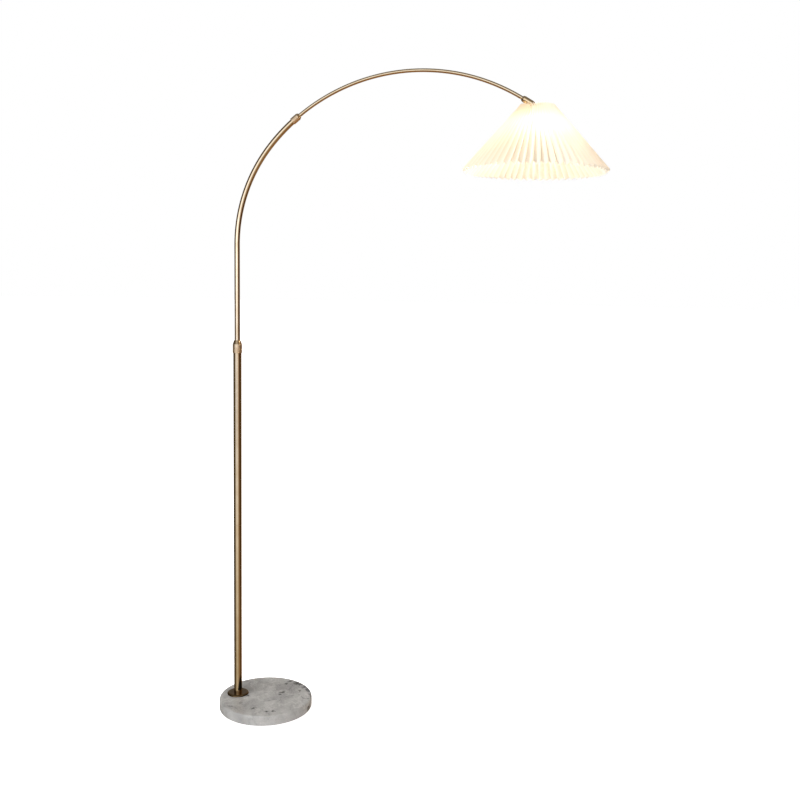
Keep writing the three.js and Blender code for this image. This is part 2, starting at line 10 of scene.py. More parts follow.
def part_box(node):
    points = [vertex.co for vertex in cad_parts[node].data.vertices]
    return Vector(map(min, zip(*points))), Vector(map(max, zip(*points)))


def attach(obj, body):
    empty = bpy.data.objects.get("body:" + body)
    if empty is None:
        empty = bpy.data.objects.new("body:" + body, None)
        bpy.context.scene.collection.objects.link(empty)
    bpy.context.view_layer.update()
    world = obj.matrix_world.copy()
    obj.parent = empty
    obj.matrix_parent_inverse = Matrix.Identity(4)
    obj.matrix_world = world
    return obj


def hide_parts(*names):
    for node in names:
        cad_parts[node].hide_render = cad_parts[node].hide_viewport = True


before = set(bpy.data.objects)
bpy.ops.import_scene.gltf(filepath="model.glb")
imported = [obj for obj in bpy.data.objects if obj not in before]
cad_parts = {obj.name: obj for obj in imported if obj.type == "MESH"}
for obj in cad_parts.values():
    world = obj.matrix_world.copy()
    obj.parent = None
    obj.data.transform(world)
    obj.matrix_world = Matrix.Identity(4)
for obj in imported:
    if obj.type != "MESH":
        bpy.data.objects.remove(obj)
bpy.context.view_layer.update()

TURN = 2 * math.pi
UP = Vector((0, 0, 1))
chance = random.Random(7)

# ---- The arch: straight shank, then two bends that share a tangent ----
SHANK_TOP = 1.400
LOWER_BEND = 0.440
UPPER_BEND = 0.553
BEND_CHANGE = math.radians(40)
MOUTH_ANGLE = math.radians(50.6)
INSERTED_ANGLE = math.radians(4.6)
ARM_END_ANGLE = math.radians(121)

# ---- Tubes ----
POLE_BORE = 0.0108
SHANK_BORE = 0.007
TIP_BORE = 0.004
TUBE_IN_SLEEVE = 0.014
TUBE_EDGE = 0.0003
BEND_STEP = 0.012
ROD_HOLE = 0.0053
NUT_RECESS = 0.018

# ---- Mesh making: the usual fillet, and the angle in degrees below which faces shade as one ----
EDGE = 0.0004
SMOOTH_BELOW = 38

# ---- Pleated shade ----
SHADE_RIM = 1.6115
SHADE_TOP = 1.783
SHADE_RIM_RADIUS = 0.2005
SHADE_TOP_RADIUS = 0.0475
PLEATS = 64
FOLDS = 2 * PLEATS
PLEAT_WIDTH = 0.0155
CLOTH_THICKNESS = 0.0009
THREAD_PITCH = 0.0011
# Strength of the glow painted into the shade cloth as emission, standing in for the bulb's light.
PAINTED_CLOTH_GLOW = 0.27
BULB_GLOW = 76.0
LEAN = 0.006
WIRE_RADIUS = 0.0014
WIRE_SIDES = 12
WIRE_BEHIND_FOLDS = 0.0031
TOP_RING_SHARE = 0.97
MID_RING_SHARE = 0.46
SPOKES = 3
RIBS = 4


def middle_of(node):
    low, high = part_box(node)
    return (low + high) / 2


def bottom_of(node):
    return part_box(node)[0].z


def top_of(node):
    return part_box(node)[1].z


def span(node):
    return bottom_of(node), top_of(node)


def radius_of(node):
    low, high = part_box(node)
    return (high.y - low.y) / 2


POLE_X = middle_of("upper_pole").x
HEAD_X = middle_of("holder_cap").x
BEND_CHANGE_AT = LOWER_BEND * BEND_CHANGE
BEND_CHANGE_X = LOWER_BEND * (1 - math.cos(BEND_CHANGE))
BEND_CHANGE_Z = SHANK_TOP + LOWER_BEND * math.sin(BEND_CHANGE)


def arch_at_angle(angle):
    """The arch's centreline where it has turned by angle from the vertical."""
    if angle <= BEND_CHANGE:
        x = LOWER_BEND * (1 - math.cos(angle))
        return Vector((POLE_X + x, 0, SHANK_TOP + LOWER_BEND * math.sin(angle)))
    x = BEND_CHANGE_X + UPPER_BEND * (math.cos(BEND_CHANGE) - math.cos(angle))
    z = BEND_CHANGE_Z + UPPER_BEND * (math.sin(angle) - math.sin(BEND_CHANGE))
    return Vector((POLE_X + x, 0, z))


def arch_distance(angle):
    """Length of centreline from the shank's top to where the arch has turned by angle."""
    if angle <= BEND_CHANGE:
        return LOWER_BEND * angle
    return BEND_CHANGE_AT + UPPER_BEND * (angle - BEND_CHANGE)


def along_arch(distance):
    """The place and the angle of the arch at a distance past the shank's top."""
    if distance <= 0:
        return Vector((POLE_X, 0, SHANK_TOP + distance)), 0.0
    if distance <= BEND_CHANGE_AT:
        angle = distance / LOWER_BEND
    else:
        angle = BEND_CHANGE + (distance - BEND_CHANGE_AT) / UPPER_BEND
    return arch_at_angle(angle), angle


def straight(distance):
    return Vector((0, 0, distance)), 0.0


# ---- Outlines: loops of (radius, height), listed counter-clockwise ----
def curved(start, bend, end, share):
    """A point on the curve from start to end that is drawn towards bend."""
    return start * (1 - share) ** 2 + bend * 2 * share * (1 - share) + end * share**2


def softened(points, fillet=EDGE, steps=4):
    """Rounds an outline's corners. A point may give its own fillet; 0 leaves it as it is.
    Each point comes back as (radius, height, crown), and crown is 1 on a corner's crown,
    where brass pieces get a lighter colour that is partly rubbed edges and partly a painted highlight."""
    made = []
    for index, point in enumerate(points):
        here = Vector(point[:2])
        reach = point[2] if len(point) > 2 else fillet
        if here.x == 0 or reach == 0:
            made.append((here.x, here.y, 0.0))
            continue
        back = Vector(points[index - 1][:2]) - here
        ahead = Vector(points[(index + 1) % len(points)][:2]) - here
        reach = min(reach, back.length * 0.4, ahead.length * 0.4)
        start = here + back.normalized() * reach
        end = here + ahead.normalized() * reach
        guard = here + back.normalized() * min(reach * 1.5, back.length * 0.48)
        made.append((guard.x, guard.y, 0.0))
        for step in range(steps + 1):
            share = step / steps
            curve = curved(start, here, end, share)
            made.append((curve.x, curve.y, 1 - abs(2 * share - 1)))
        guard = here + ahead.normalized() * min(reach * 1.5, ahead.length * 0.48)
        made.append((guard.x, guard.y, 0.0))
    return made


def dense(outline, longest):
    """Adds points to an outline so that none of its steps is longer than longest."""
    made = []
    for here, after in zip(outline, outline[1:] + outline[:1]):
        made.append(here)
        if here[0] == 0 and after[0] == 0:
            continue
        count = math.ceil((Vector(after[:2]) - Vector(here[:2])).length / longest)
        for step in range(1, count):
            share = step / count
            made.append(tuple(a + (b - a) * share for a, b in zip(here, after)))
    return made


def ring_outline(inner, outer, bottom, top):
    return [(inner, bottom), (outer, bottom), (outer, top), (inner, top)]


def in_mm(points, datum=0.0):
    """Outline points in millimetres above a height in metres."""
    return [(p[0] / 1000, datum + p[1] / 1000, *(f / 1000 for f in p[2:])) for p in points]


# ---- Mesh making ----
def new_piece(name, vertices, faces, smooth_below=SMOOTH_BELOW):
    mesh = bpy.data.meshes.new(name)
    mesh.from_pydata([tuple(v) for v in vertices], [], faces)
    mesh.validate()
    mesh.shade_smooth()
    mesh.set_sharp_from_angle(angle=math.radians(smooth_below))
    piece = bpy.data.objects.new(name, mesh)
    bpy.context.scene.collection.objects.link(piece)
    return piece


def keep_attribute(piece, name, kind, values):
    layer = piece.data.attributes.new(name, kind, "POINT")
    if kind == "FLOAT":
        layer.data.foreach_set("value", values)
    else:
        layer.data.foreach_set("vector", [x for v in values for x in v])


def swept(name, outline, columns=64, path=straight, relief=None):
    """A closed body of rings round a centreline, with each point's place before bending."""
    vertices, unbent, edge_wear_and_highlight, rings = [], [], [], []
    for radius, along, rubbed_and_highlit in outline:
        centre, angle = path(along)
        side = Vector((math.cos(angle), 0, -math.sin(angle)))
        ring = []
        for column in range(1 if radius < 1e-7 else columns):
            turn = TURN * column / columns
            reach = radius + (relief(turn, along, radius) if relief else 0)
            x, y = reach * math.cos(turn), reach * math.sin(turn)
            ring.append(len(vertices))
            vertices.append(centre + side * x + Vector((0, y, 0)))
            unbent.append((x, y, along))
            edge_wear_and_highlight.append(rubbed_and_highlit)
        rings.append(ring)
    faces = []
    for low, high in zip(rings, rings[1:] + rings[:1]):
        if len(low) == 1 and len(high) == 1:
            continue
        for column in range(columns):
            after = (column + 1) % columns
            if len(low) == 1:
                faces.append((low[0], high[after], high[column]))
            elif len(high) == 1:
                faces.append((low[column], low[after], high[0]))
            else:
                faces.append((low[column], low[after], high[after], high[column]))
    piece = new_piece(name, vertices, faces)
    keep_attribute(piece, "unbent", "FLOAT_VECTOR", unbent)
    keep_attribute(piece, "edge_wear_and_highlight", "FLOAT", edge_wear_and_highlight)
    return piece


def combine(piece, tools, operation):
    """Joins tools to the piece or cuts them from it, and removes the tools."""
    for tool in tools:
        modifier = piece.modifiers.new("combine", "BOOLEAN")
        modifier.operation = operation
        modifier.solver = "EXACT"
        modifier.object = tool
        with bpy.context.temp_override(object=piece, active_object=piece):
            bpy.ops.object.modifier_apply(modifier=modifier.name)
        bpy.data.objects.remove(tool)
    piece.data.shade_smooth()
    piece.data.set_sharp_from_angle(angle=math.radians(SMOOTH_BELOW))
    return piece


def rod(start, end, radius, columns=24):
    """A round rod between two points, used only as a cutting tool."""
    reach = Vector(end) - Vector(start)
    outline = [(0, 0), (radius, 0), (radius, reach.length), (0, reach.length)]
    made = swept("tool", softened(outline), columns)
    turned = reach.to_track_quat("Z", "Y").to_matrix().to_4x4()
    made.data.transform(Matrix.Translation(start) @ turned)
    return made


def drilled(piece, outline):
    """Cuts a turned hole in a piece, round the pole's axis."""
    tool = place_at(swept("tool", softened(outline, 0), 64), POLE_X)
    return combine(piece, [tool], "DIFFERENCE")


def place_at(piece, x):
    piece.location = (x, 0, 0)
    return piece


def place_on_arch(piece, angle):
    """Stands a piece on the arch's centreline, with its axis along the arch."""
    piece.location = arch_at_angle(angle)
    piece.rotation_euler = (0, angle, 0)
    return piece


def place_on_pivot(piece, height, turn):
    """Lays a piece along the head's pivot, which runs across the lamp."""
    piece.location = (HEAD_X, 0, height)
    piece.rotation_euler = (turn, 0, 0)
    return piece


def settle(piece, node, body, surface):
    """Gives a piece its material and makes it stand for its CAD node."""
    piece.data.materials.clear()
    piece.data.materials.append(surface)
    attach(piece, body)
    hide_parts(node)
    return piece


def settle_on_head(name, node, surface, outline, columns=96, relief=None):
    """Makes a piece turned about the head's axis, in the place of its CAD node."""
    piece = place_at(swept(name, outline, columns, relief=relief), HEAD_X)
    return settle(piece, node, "head", surface)


# ---- Materials ----
class Graph:
    """Shader nodes under construction, for a material or for the world."""

    def __init__(self, name, library=bpy.data.materials):
        self.material = library.new(name)
        self.material.use_nodes = True
        self.tree = self.material.node_tree
        self.shader = self.tree.nodes.get("Principled BSDF")

    def feed(self, socket, value):
        if isinstance(value, bpy.types.NodeSocket):
            self.tree.links.new(value, socket)
        elif socket.type == "RGBA":
            socket.default_value = (*value, 1.0)
        else:
            socket.default_value = value

    def add(self, kind, settings=None, inputs=None):
        node = self.tree.nodes.new("ShaderNode" + kind)
        for key, value in (settings or {}).items():
            setattr(node, key, value)
        for key, value in (inputs or {}).items():
            self.feed(node.inputs[key], value)
        return node

    def set(self, **values):
        for key, value in values.items():
            self.feed(self.shader.inputs[key.replace("_", " ")], value)

    def end_with(self, node):
        self.feed(self.tree.nodes["Material Output"].inputs["Surface"], node.outputs[0])

    def place(self, attribute=None):
        """Where a point is: before its tube was bent, or in its own object."""
        if attribute:
            return self.add("Attribute", {"attribute_name": attribute}).outputs["Vector"]
        return self.add("TexCoord").outputs["Object"]

    def number(self, attribute):
        return self.add("Attribute", {"attribute_name": attribute}).outputs["Fac"]

    def stretched(self, vector, scale):
        node = self.add("VectorMath", {"operation": "MULTIPLY"}, {0: vector, 1: scale})
        return node.outputs["Vector"]

    def noise(self, vector, scale, detail=3.0, roughness=0.5, distortion=0.0):
        inputs = {"Vector": vector, "Scale": scale, "Detail": detail}
        inputs |= {"Roughness": roughness, "Distortion": distortion}
        return self.add("TexNoise", None, inputs).outputs["Fac"]

    def ranged(self, value, low, high, to_low=0.0, to_high=1.0):
        inputs = {0: value, 1: low, 2: high, 3: to_low, 4: to_high}
        return self.add("MapRange", {"interpolation_type": "SMOOTHSTEP"}, inputs).outputs[0]

    def calculate(self, operation, first, second=0.0):
        return self.add("Math", {"operation": operation}, {0: first, 1: second}).outputs[0]

    def times(self, first, second):
        return self.calculate("MULTIPLY", first, second)

    def mixed(self, factor, first, second):
        return self.add("Mix", {"data_type": "RGBA"}, {0: factor, 6: first, 7: second}).outputs[2]

    def mixed_shaders(self, factor, first, second):
        inputs = {0: factor, 1: first.outputs[0], 2: second.outputs[0]}
        return self.add("MixShader", None, inputs)

    def bump(self, height, strength, distance):
        inputs = {"Height": height, "Strength": strength, "Distance": distance}
        return self.add("Bump", None, inputs).outputs["Normal"]


def plated_brass(name, light, dark, roughness, grain, attribute="unbent", grain_depth=0.35):
    """Plated metal with a fine grain, which grain stretches, and clouded polish. Corner crowns are
    lighter in patches: partly rubbed edges, partly a painted highlight.
    """
    graph = Graph(name)
    where = graph.place(attribute)
    fine = graph.noise(graph.stretched(where, grain), 1.0, 4.0, 0.6)
    cloud = graph.noise(where, 22.0, 3.0, 0.55)
    base = graph.mixed(graph.ranged(cloud, 0.35, 0.7), light, dark)
    streaked = graph.mixed(graph.ranged(fine, 0.45, 0.8, 0.0, 0.3), base, dark)
    if attribute:
        # Lighter brass on corner crowns, in patches: partly rubbed edges, partly a painted highlight.
        rubbed_highlight = [min(1.0, x * 1.25 + 0.06) for x in light]
        patchy = graph.ranged(cloud, 0.3, 0.6, 0.2, 0.8)
        rubbed_and_highlit = graph.times(graph.number("edge_wear_and_highlight"), patchy)
        streaked = graph.mixed(rubbed_and_highlit, streaked, rubbed_highlight)
    graph.set(Metallic=1.0, Base_Color=streaked)
    smear = graph.ranged(graph.noise(where, 60.0, 4.0, 0.6), 0.3, 0.75, -0.035, 0.06)
    polish = graph.ranged(fine, 0.25, 0.8, roughness - 0.04, roughness + 0.07)
    graph.set(Roughness=graph.calculate("ADD", polish, smear))
    graph.set(Normal=graph.bump(fine, grain_depth, 0.00006))
    return graph.material


def marble():
    """Grey polished marble: clouds, thin veins, and dark fossil flecks, some of them in a seam."""
    graph = Graph("marble")
    where = graph.place()
    warp = graph.add("TexNoise", None, {"Vector": where, "Scale": 9.0, "Detail": 4.0})
    inputs = {0: warp.outputs["Color"], 1: (0.05, 0.05, 0.05), 2: where}
    shifted = graph.add("VectorMath", {"operation": "MULTIPLY_ADD"}, inputs).outputs["Vector"]
    cloud = graph.noise(graph.stretched(shifted, (1.0, 0.55, 1.0)), 15.0, 6.0, 0.6)
    dark, light = (0.345, 0.34, 0.33), (0.51, 0.503, 0.488)
    grey = graph.mixed(graph.ranged(cloud, 0.36, 0.64), dark, light)
    speck = graph.noise(where, 260.0, 6.0, 0.7)
    grey = graph.mixed(graph.ranged(speck, 0.35, 0.75, 0.0, 0.5), grey, (0.2, 0.2, 0.192))

    def veins(scale, thickness, offset):
        moved = graph.add("VectorMath", {"operation": "ADD"}, {0: shifted, 1: offset}).outputs[0]
        field = graph.noise(moved, scale, 6.0, 0.6)
        ridge = graph.calculate("ABSOLUTE", graph.calculate("SUBTRACT", field, 0.5))
        return graph.ranged(ridge, 0.0, thickness, 1.0, 0.0)

    broken = graph.ranged(graph.noise(where, 16.0, 3.0), 0.42, 0.62)
    wide = graph.times(veins(4.5, 0.016, (0.3, 0.1, 0.7)), broken)
    thin = graph.times(veins(15.0, 0.012, (0.8, 0.4, 0.2)), broken)
    grey = graph.mixed(graph.times(wide, 0.6), grey, (0.13, 0.13, 0.128))
    grey = graph.mixed(graph.times(thin, 0.45), grey, (0.16, 0.158, 0.15))
    pale = graph.times(veins(7.0, 0.02, (0.1, 0.9, 0.5)), 0.35)
    grey = graph.mixed(pale, grey, (0.68, 0.665, 0.64))

    ragged = graph.ranged(graph.noise(where, 120.0, 4.0, 0.65), 0.3, 0.7, -0.004, 0.004)
    for centre, size in marble_flecks():
        offset = graph.add("VectorMath", {"operation": "SUBTRACT"}, {0: where, 1: centre})
        near = graph.add("VectorMath", {"operation": "LENGTH"}, {0: offset.outputs[0]}).outputs["Value"]
        mask = graph.ranged(graph.calculate("ADD", near, ragged), size * 0.3, size, 0.85, 0.0)
        grey = graph.mixed(mask, grey, (0.045, 0.045, 0.045))

    graph.set(Base_Color=grey)
    graph.set(Roughness=graph.ranged(speck, 0.3, 0.8, 0.22, 0.36))
    graph.set(Coat_Weight=0.15, Coat_Roughness=0.12, Specular_IOR_Level=0.35)
    graph.set(Normal=graph.bump(speck, 0.12, 0.0002))
    return graph.material


STREWN_FLECKS = 10
SEAM_FLECKS = 10
SEAM_START = math.radians(74)
SEAM_END = math.radians(-14)


def marble_flecks():
    """Places and sizes of dark flecks: some strewn over the top, and a seam of them round one edge,
    which starts on the top and runs down into the side wall."""
    draw = random.Random(4)
    radius, top = radius_of("marble_base"), top_of("marble_base")
    flecks = []

    def add(reach, turn, height, size):
        flecks.append((Vector((reach * math.cos(turn), reach * math.sin(turn), height)), size))

    for _ in range(STREWN_FLECKS):
        reach = radius * 0.82 * math.sqrt(draw.random())
        add(reach, draw.uniform(0, TURN), top, draw.uniform(0.006, 0.0088))
    for index in range(SEAM_FLECKS):
        share = (index + draw.uniform(0.1, 0.9)) / SEAM_FLECKS
        reach = radius * min(1.0, 0.87 + 0.18 * share)
        height = top - 0.027 * max(0.0, (share - 0.68) / 0.32)
        add(reach, SEAM_START + (SEAM_END - SEAM_START) * share, height, draw.uniform(0.0095, 0.015))
    return flecks


def felt():
    graph = Graph("felt")
    where = graph.place()
    fibres = graph.noise(graph.stretched(where, (900.0, 900.0, 900.0)), 1.0, 5.0, 0.7, 1.5)
    graph.set(Base_Color=graph.mixed(fibres, (0.022, 0.022, 0.021), (0.075, 0.073, 0.07)))
    graph.set(Roughness=graph.ranged(fibres, 0.2, 0.8, 0.85, 1.0))
    graph.set(Sheen_Weight=0.35, Sheen_Roughness=0.5)
    graph.set(Normal=graph.bump(fibres, 0.6, 0.0004))
    return graph.material


def moulded(name, base, roughness):
    """Moulded plastic or glazed ceramic with a faint skin texture."""
    graph = Graph(name)
    where = graph.place()
    skin = graph.noise(where, 700.0, 3.0, 0.6)
    cloud = graph.noise(where, 40.0, 3.0, 0.5)
    darker = [x * 0.8 for x in base]
    graph.set(Base_Color=graph.mixed(graph.ranged(cloud, 0.3, 0.75), base, darker))
    graph.set(Roughness=graph.ranged(skin, 0.3, 0.7, roughness - 0.05, roughness + 0.08))
    graph.set(Normal=graph.bump(skin, 0.12, 0.0002))
    return graph.material


def steel(attribute=None):
    graph = Graph("zinc_steel" if attribute is None else "zinc_steel_turned")
    where = graph.place(attribute)
    lines = graph.noise(graph.stretched(where, (120.0, 120.0, 5000.0)), 1.0, 3.0, 0.6)
    stain = graph.noise(where, 90.0, 4.0, 0.6)
    clean, stained = (0.56, 0.56, 0.55), (0.4, 0.39, 0.37)
    graph.set(Metallic=1.0, Base_Color=graph.mixed(graph.ranged(stain, 0.35, 0.7), clean, stained))
    graph.set(Roughness=graph.ranged(lines, 0.3, 0.75, 0.26, 0.42))
    graph.set(Normal=graph.bump(lines, 0.2, 0.00005))
    return graph.material


def painted_wire():
    graph = Graph("white_wire")
    where = graph.place()
    orange_peel = graph.noise(where, 900.0, 2.0, 0.5)
    dust = graph.noise(where, 70.0, 4.0, 0.6)
    clean, dusty = (0.86, 0.84, 0.79), (0.74, 0.7, 0.62)
    graph.set(Base_Color=graph.mixed(graph.ranged(dust, 0.4, 0.8), clean, dusty))
    graph.set(Roughness=graph.ranged(orange_peel, 0.3, 0.7, 0.34, 0.5))
    graph.set(Normal=graph.bump(orange_peel, 0.2, 0.0001))
    return graph.material


def opal_glass():
    """An opal bulb that is lit: brightest over its filament and dimmer at its neck."""
    graph = Graph("opal_glass")
    where = graph.place("unbent")
    height = graph.add("SeparateXYZ", None, {0: where}).outputs["Z"]
    low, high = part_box("bulb_glass")
    neck = graph.ranged(height, low.z + 0.045, high.z, 0.0, 1.0)
    milk = graph.noise(where, 60.0, 3.0, 0.5)
    core = graph.mixed(graph.ranged(milk, 0.3, 0.7), (1.0, 0.91, 0.77), (1.0, 0.88, 0.73))
    graph.set(Base_Color=(0.9, 0.88, 0.84), Roughness=0.35)
    graph.set(Emission_Color=graph.mixed(neck, core, (0.45, 0.3, 0.16)))
    graph.set(Emission_Strength=BULB_GLOW)
    return graph.material


def glowing_core():
    graph = Graph("glowing_core")
    bands = graph.noise(graph.place(), 300.0, 2.0)
    graph.set(Emission_Color=graph.mixed(bands, (1.0, 0.75, 0.42), (1.0, 0.62, 0.3)))
    graph.set(Base_Color=(0.9, 0.7, 0.4), Roughness=0.5, Emission_Strength=4.0)
    return graph.material


def pleated_cloth():
    """Thin woven cloth, lit through by the bulb, with a painted glow that is brightest where the bulb is
    near, and painted shade that makes its outer folds warmer and darker.
    """
    graph = Graph("pleated_cloth")
    where = graph.place("weave")
    parts = graph.add("SeparateXYZ", None, {0: where})

    def threads(value, spacing):
        return graph.calculate("SINE", graph.times(value, TURN / spacing))

    warp, weft = threads(parts.outputs["X"], THREAD_PITCH), threads(parts.outputs["Y"], THREAD_PITCH)
    weave = graph.times(warp, weft)
    slub = graph.noise(graph.stretched(where, (2200.0, 160.0, 1.0)), 1.0, 3.0, 0.6)
    cloud = graph.noise(graph.place(), 30.0, 3.0, 0.5)
    inner = graph.number("inner")
    # Painted shade in the folds: the cloth's colour goes darker and warmer towards its outer folds.
    base = graph.mixed(inner, (0.88, 0.79, 0.65), (0.98, 0.96, 0.91))
    base = graph.mixed(graph.ranged(cloud, 0.3, 0.75, 0.0, 0.35), base, (0.93, 0.87, 0.76))
    base = graph.mixed(graph.ranged(slub, 0.5, 0.85, 0.0, 0.2), base, (0.86, 0.77, 0.62))
    inputs = {"Color": base, "Normal": graph.bump(weave, 0.25, 0.00012)}
    matt = graph.add("BsdfDiffuse", None, inputs)
    through = graph.add("BsdfTranslucent", None, inputs)
    mixer = graph.mixed_shaders(0.385, matt, through)
    # Painted shade in the folds: the painted glow is weaker towards the outer folds.
    folds = graph.ranged(inner, 0.0, 1.0, 0.9, 1.12)
    # The emission is a painted glow that stands in for the bulb's light through the cloth.
    strength = graph.times(graph.number("lit"), folds)
    glow = graph.add("Emission", None, {"Color": (1.0, 0.96, 0.88), "Strength": strength})
    both = graph.add("AddShader", None, {0: mixer.outputs[0], 1: glow.outputs[0]})
    graph.tree.nodes.remove(graph.shader)
    graph.end_with(both)
    return graph.material


LENGTHWISE = (2600.0, 2600.0, 14.0)
ROUND_AND_ROUND = (40.0, 40.0, 4200.0)
EVENLY = (300.0, 300.0, 300.0)

SATIN = plated_brass(
    "satin_brass", (0.74, 0.6, 0.41), (0.67, 0.52, 0.33), 0.11, LENGTHWISE, grain_depth=0.1
)
TURNED = plated_brass(
    "turned_brass", (0.75, 0.57, 0.35), (0.64, 0.46, 0.26), 0.1, ROUND_AND_ROUND, grain_depth=0.2
)
KNURLED = plated_brass("knurled_brass", (1.0, 0.83, 0.6), (0.92, 0.72, 0.48), 0.5, ROUND_AND_ROUND)
BRONZE = plated_brass(
    "dark_bronze", (0.22, 0.15, 0.07), (0.15, 0.1, 0.045), 0.14, ROUND_AND_ROUND, grain_depth=0.2
)
FLAT_BRASS = plated_brass("flat_brass", (0.73, 0.57, 0.38), (0.6, 0.45, 0.28), 0.22, EVENLY, None)
MARBLE = marble()
FELT = felt()
STEEL = steel()
TURNED_STEEL = steel("unbent")
BLACK = moulded("black_plastic", (0.018, 0.017, 0.016), 0.42)
WHITE = moulded("white_plastic", (0.76, 0.73, 0.66), 0.4)
CERAMIC = moulded("ceramic", (0.84, 0.82, 0.76), 0.22)
WIRE = painted_wire()
OPAL = opal_glass()
GLOWING = glowing_core()
CLOTH = pleated_cloth()


# ---- Reliefs that are cut into turned pieces ----
KNURL_PITCH = 0.0016
KNURL_DEPTH = 0.00022


def faded(along, low, high, run):
    """1 between two heights, falling to 0 over a run at each of them."""
    return min(1.0, max(0.0, min(along - low, high - along) / run))


def beyond(limit, relief):
    """Keeps a relief to the part of an outline that lies outside a radius."""
    return lambda turn, along, radius: relief(turn, along, radius) if radius > limit else 0


def diamond_knurl(count, pitch, depth, low, high):
    """Two crossed sets of V grooves between two heights, fading out at both."""

    def wave(value):
        return 1 - abs(2 * (value % 1) - 1)

    def relief(turn, along, radius):
        fade = faded(along, low, high, 0.0006)
        lean = along / (pitch * count)
        first = wave(count * (turn / TURN + lean))
        second = wave(count * (turn / TURN - lean))
        return -depth * fade * (1 - min(1.0, 2 * min(first, second)))

    return relief


def screw_thread(pitch, depth, low, high, round_form=False):
    """A helical thread between two heights."""

    def relief(turn, along, radius):
        fade = faded(along, low, high, pitch * 0.6)
        phase = (along / pitch - turn / TURN) % 1
        height = 0.5 - 0.5 * math.cos(TURN * phase) if round_form else 1 - abs(2 * phase - 1)
        return -depth * fade * (1 - height)

    return relief


# ---- Base ----
def marble_stone():
    low, high = span("marble_base")
    radius = radius_of("marble_base")
    outline = [(0, low), (radius, low, 0.003), (radius, high, 0.006), (0, high)]
    stone = swept("marble_base_stone", dense(softened(outline, steps=8), 0.02), 192)
    floor_of, roof = top_of("base_washer") + 0.0003, 0.05
    hole = [(0, -0.01), (NUT_RECESS, -0.01), (NUT_RECESS, floor_of)]
    hole += [(ROD_HOLE, floor_of), (ROD_HOLE, roof), (0, roof)]
    settle(drilled(stone, hole), "marble_base", "stand", MARBLE)
    stone.visible_glossy = False


def felt_pad():
    low, high = span("base_pad")
    radius = radius_of("base_pad")

    def fuzz(turn, along, reach):
        if reach < radius * 0.9:
            return 0
        at = Vector((reach * math.cos(turn), reach * math.sin(turn), along))
        return -0.0004 * noise.noise(at * 400)

    outline = softened([(0, low), (radius, low, 0.0008), (radius, high, 0.0008), (0, high)])
    pad = swept("felt_pad", dense(outline, 0.03), 240, relief=fuzz)
    hole = [(0, -0.01), (NUT_RECESS, -0.01), (NUT_RECESS, 0.01), (0, 0.01)]
    settle(drilled(pad, hole), "base_pad", "stand", FELT)


def tie_rod_pieces():
    low, high = span("tie_rod")
    outline = softened(ring_outline(0.0032, radius_of("tie_rod"), low, high), 0.0005)
    thread = beyond(0.0045, screw_thread(0.001, 0.0003, low + 0.0005, high - 0.0005))
    threaded = swept("tie_rod_threaded", dense(outline, 0.00025), 40, relief=thread)
    settle(place_at(threaded, POLE_X), "tie_rod", "stand", TURNED_STEEL)

    low, high = span("base_washer")
    outline = ring_outline(ROD_HOLE, radius_of("base_washer"), low, high)
    washer = swept("base_washer_plate", softened(outline), 64)
    settle(place_at(washer, POLE_X), "base_washer", "stand", TURNED_STEEL)
    nut = hex_nut("base_nut_hex", 0.0098, ROD_HOLE, *span("base_nut"))
    settle(place_at(nut, POLE_X), "base_nut", "stand", TURNED_STEEL)


def hex_nut(name, radius, hole, bottom, top):
    """A hexagon nut whose corners are turned off at both faces."""

    def hexagon(turn, along, reach):
        if reach < radius * 0.8:
            return 0
        off_flat = (turn + TURN / 12) % (TURN / 6) - TURN / 12
        flat = radius * math.cos(TURN / 12) / math.cos(off_flat)
        return min(reach, flat) - reach

    chamfer, face = radius * 0.12, radius * 0.86
    outline = [(hole, bottom), (face, bottom), (radius, bottom + chamfer)]
    outline += [(radius, top - chamfer), (face, top), (hole, top)]
    nut = swept(name, softened(outline, 0.0002, 2), 96, relief=hexagon)
    nut.data.set_sharp_from_angle(angle=math.radians(25))
    return nut


# ---- Pole ----
def foot_flange():
    low, high = span("foot_flange")
    radius = radius_of("foot_flange")
    outline = [(ROD_HOLE, low), (radius, low, 0.0004), (radius, low + 0.0026, 0.001)]
    outline += [(radius - 0.0016, low + 0.0042, 0.001), (radius - 0.0045, high, 0.0012), (ROD_HOLE, high)]
    flange = swept("foot_flange_turned", softened(outline), 128)
    settle(place_at(flange, POLE_X), "foot_flange", "stand", BRONZE)


def pole_tubes():
    for node in ("lower_pole", "upper_pole"):
        outline = ring_outline(POLE_BORE, radius_of("upper_pole"), *span(node))
        tube = swept(node + "_tube", softened(outline, 0.00035), 96)
        if node == "lower_pole":
            height = middle_of("cord_grommet").z
            combine(tube, [rod((0, 0, height), (0, 0.02, height), 0.005, 40)], "DIFFERENCE")
        settle(place_at(tube, POLE_X), node, "stand", SATIN)


def cord_grommet():
    outline = [(3.2, 9.9, 0.3), (4.7, 9.9, 0.3), (4.7, 12.3, 0), (7, 12.3, 0.3)]
    outline += [(7, 13.6, 0.7), (5.4, 14.4, 0.5), (3.2, 14.4, 0.5)]
    grommet = swept("cord_grommet_moulded", softened(in_mm(outline)), 64)
    grommet.rotation_euler = (-math.pi / 2, 0, 0)
    grommet.location = (POLE_X, 0, middle_of("cord_grommet").z)
    settle(grommet, "cord_grommet", "stand", BLACK)


def lock_nut(name, outline, knurl_low, knurl_high, count, columns):
    """A lock nut with a fine diamond knurl on its grip and a plain cone above it."""
    knurl = diamond_knurl(count, KNURL_PITCH, KNURL_DEPTH, knurl_low, knurl_high)
    grip = beyond(max(point[0] for point in outline) - 0.0003, knurl)
    return swept(name, dense(softened(outline), 0.0004), columns, relief=grip)


def polish_above(nut, height):
    """Leaves the knurl matt and makes everything above a height of the nut polished."""
    nut.data.materials.append(TURNED)
    for face in nut.data.polygons:
        face.material_index = 1 if face.center.z > height else 0


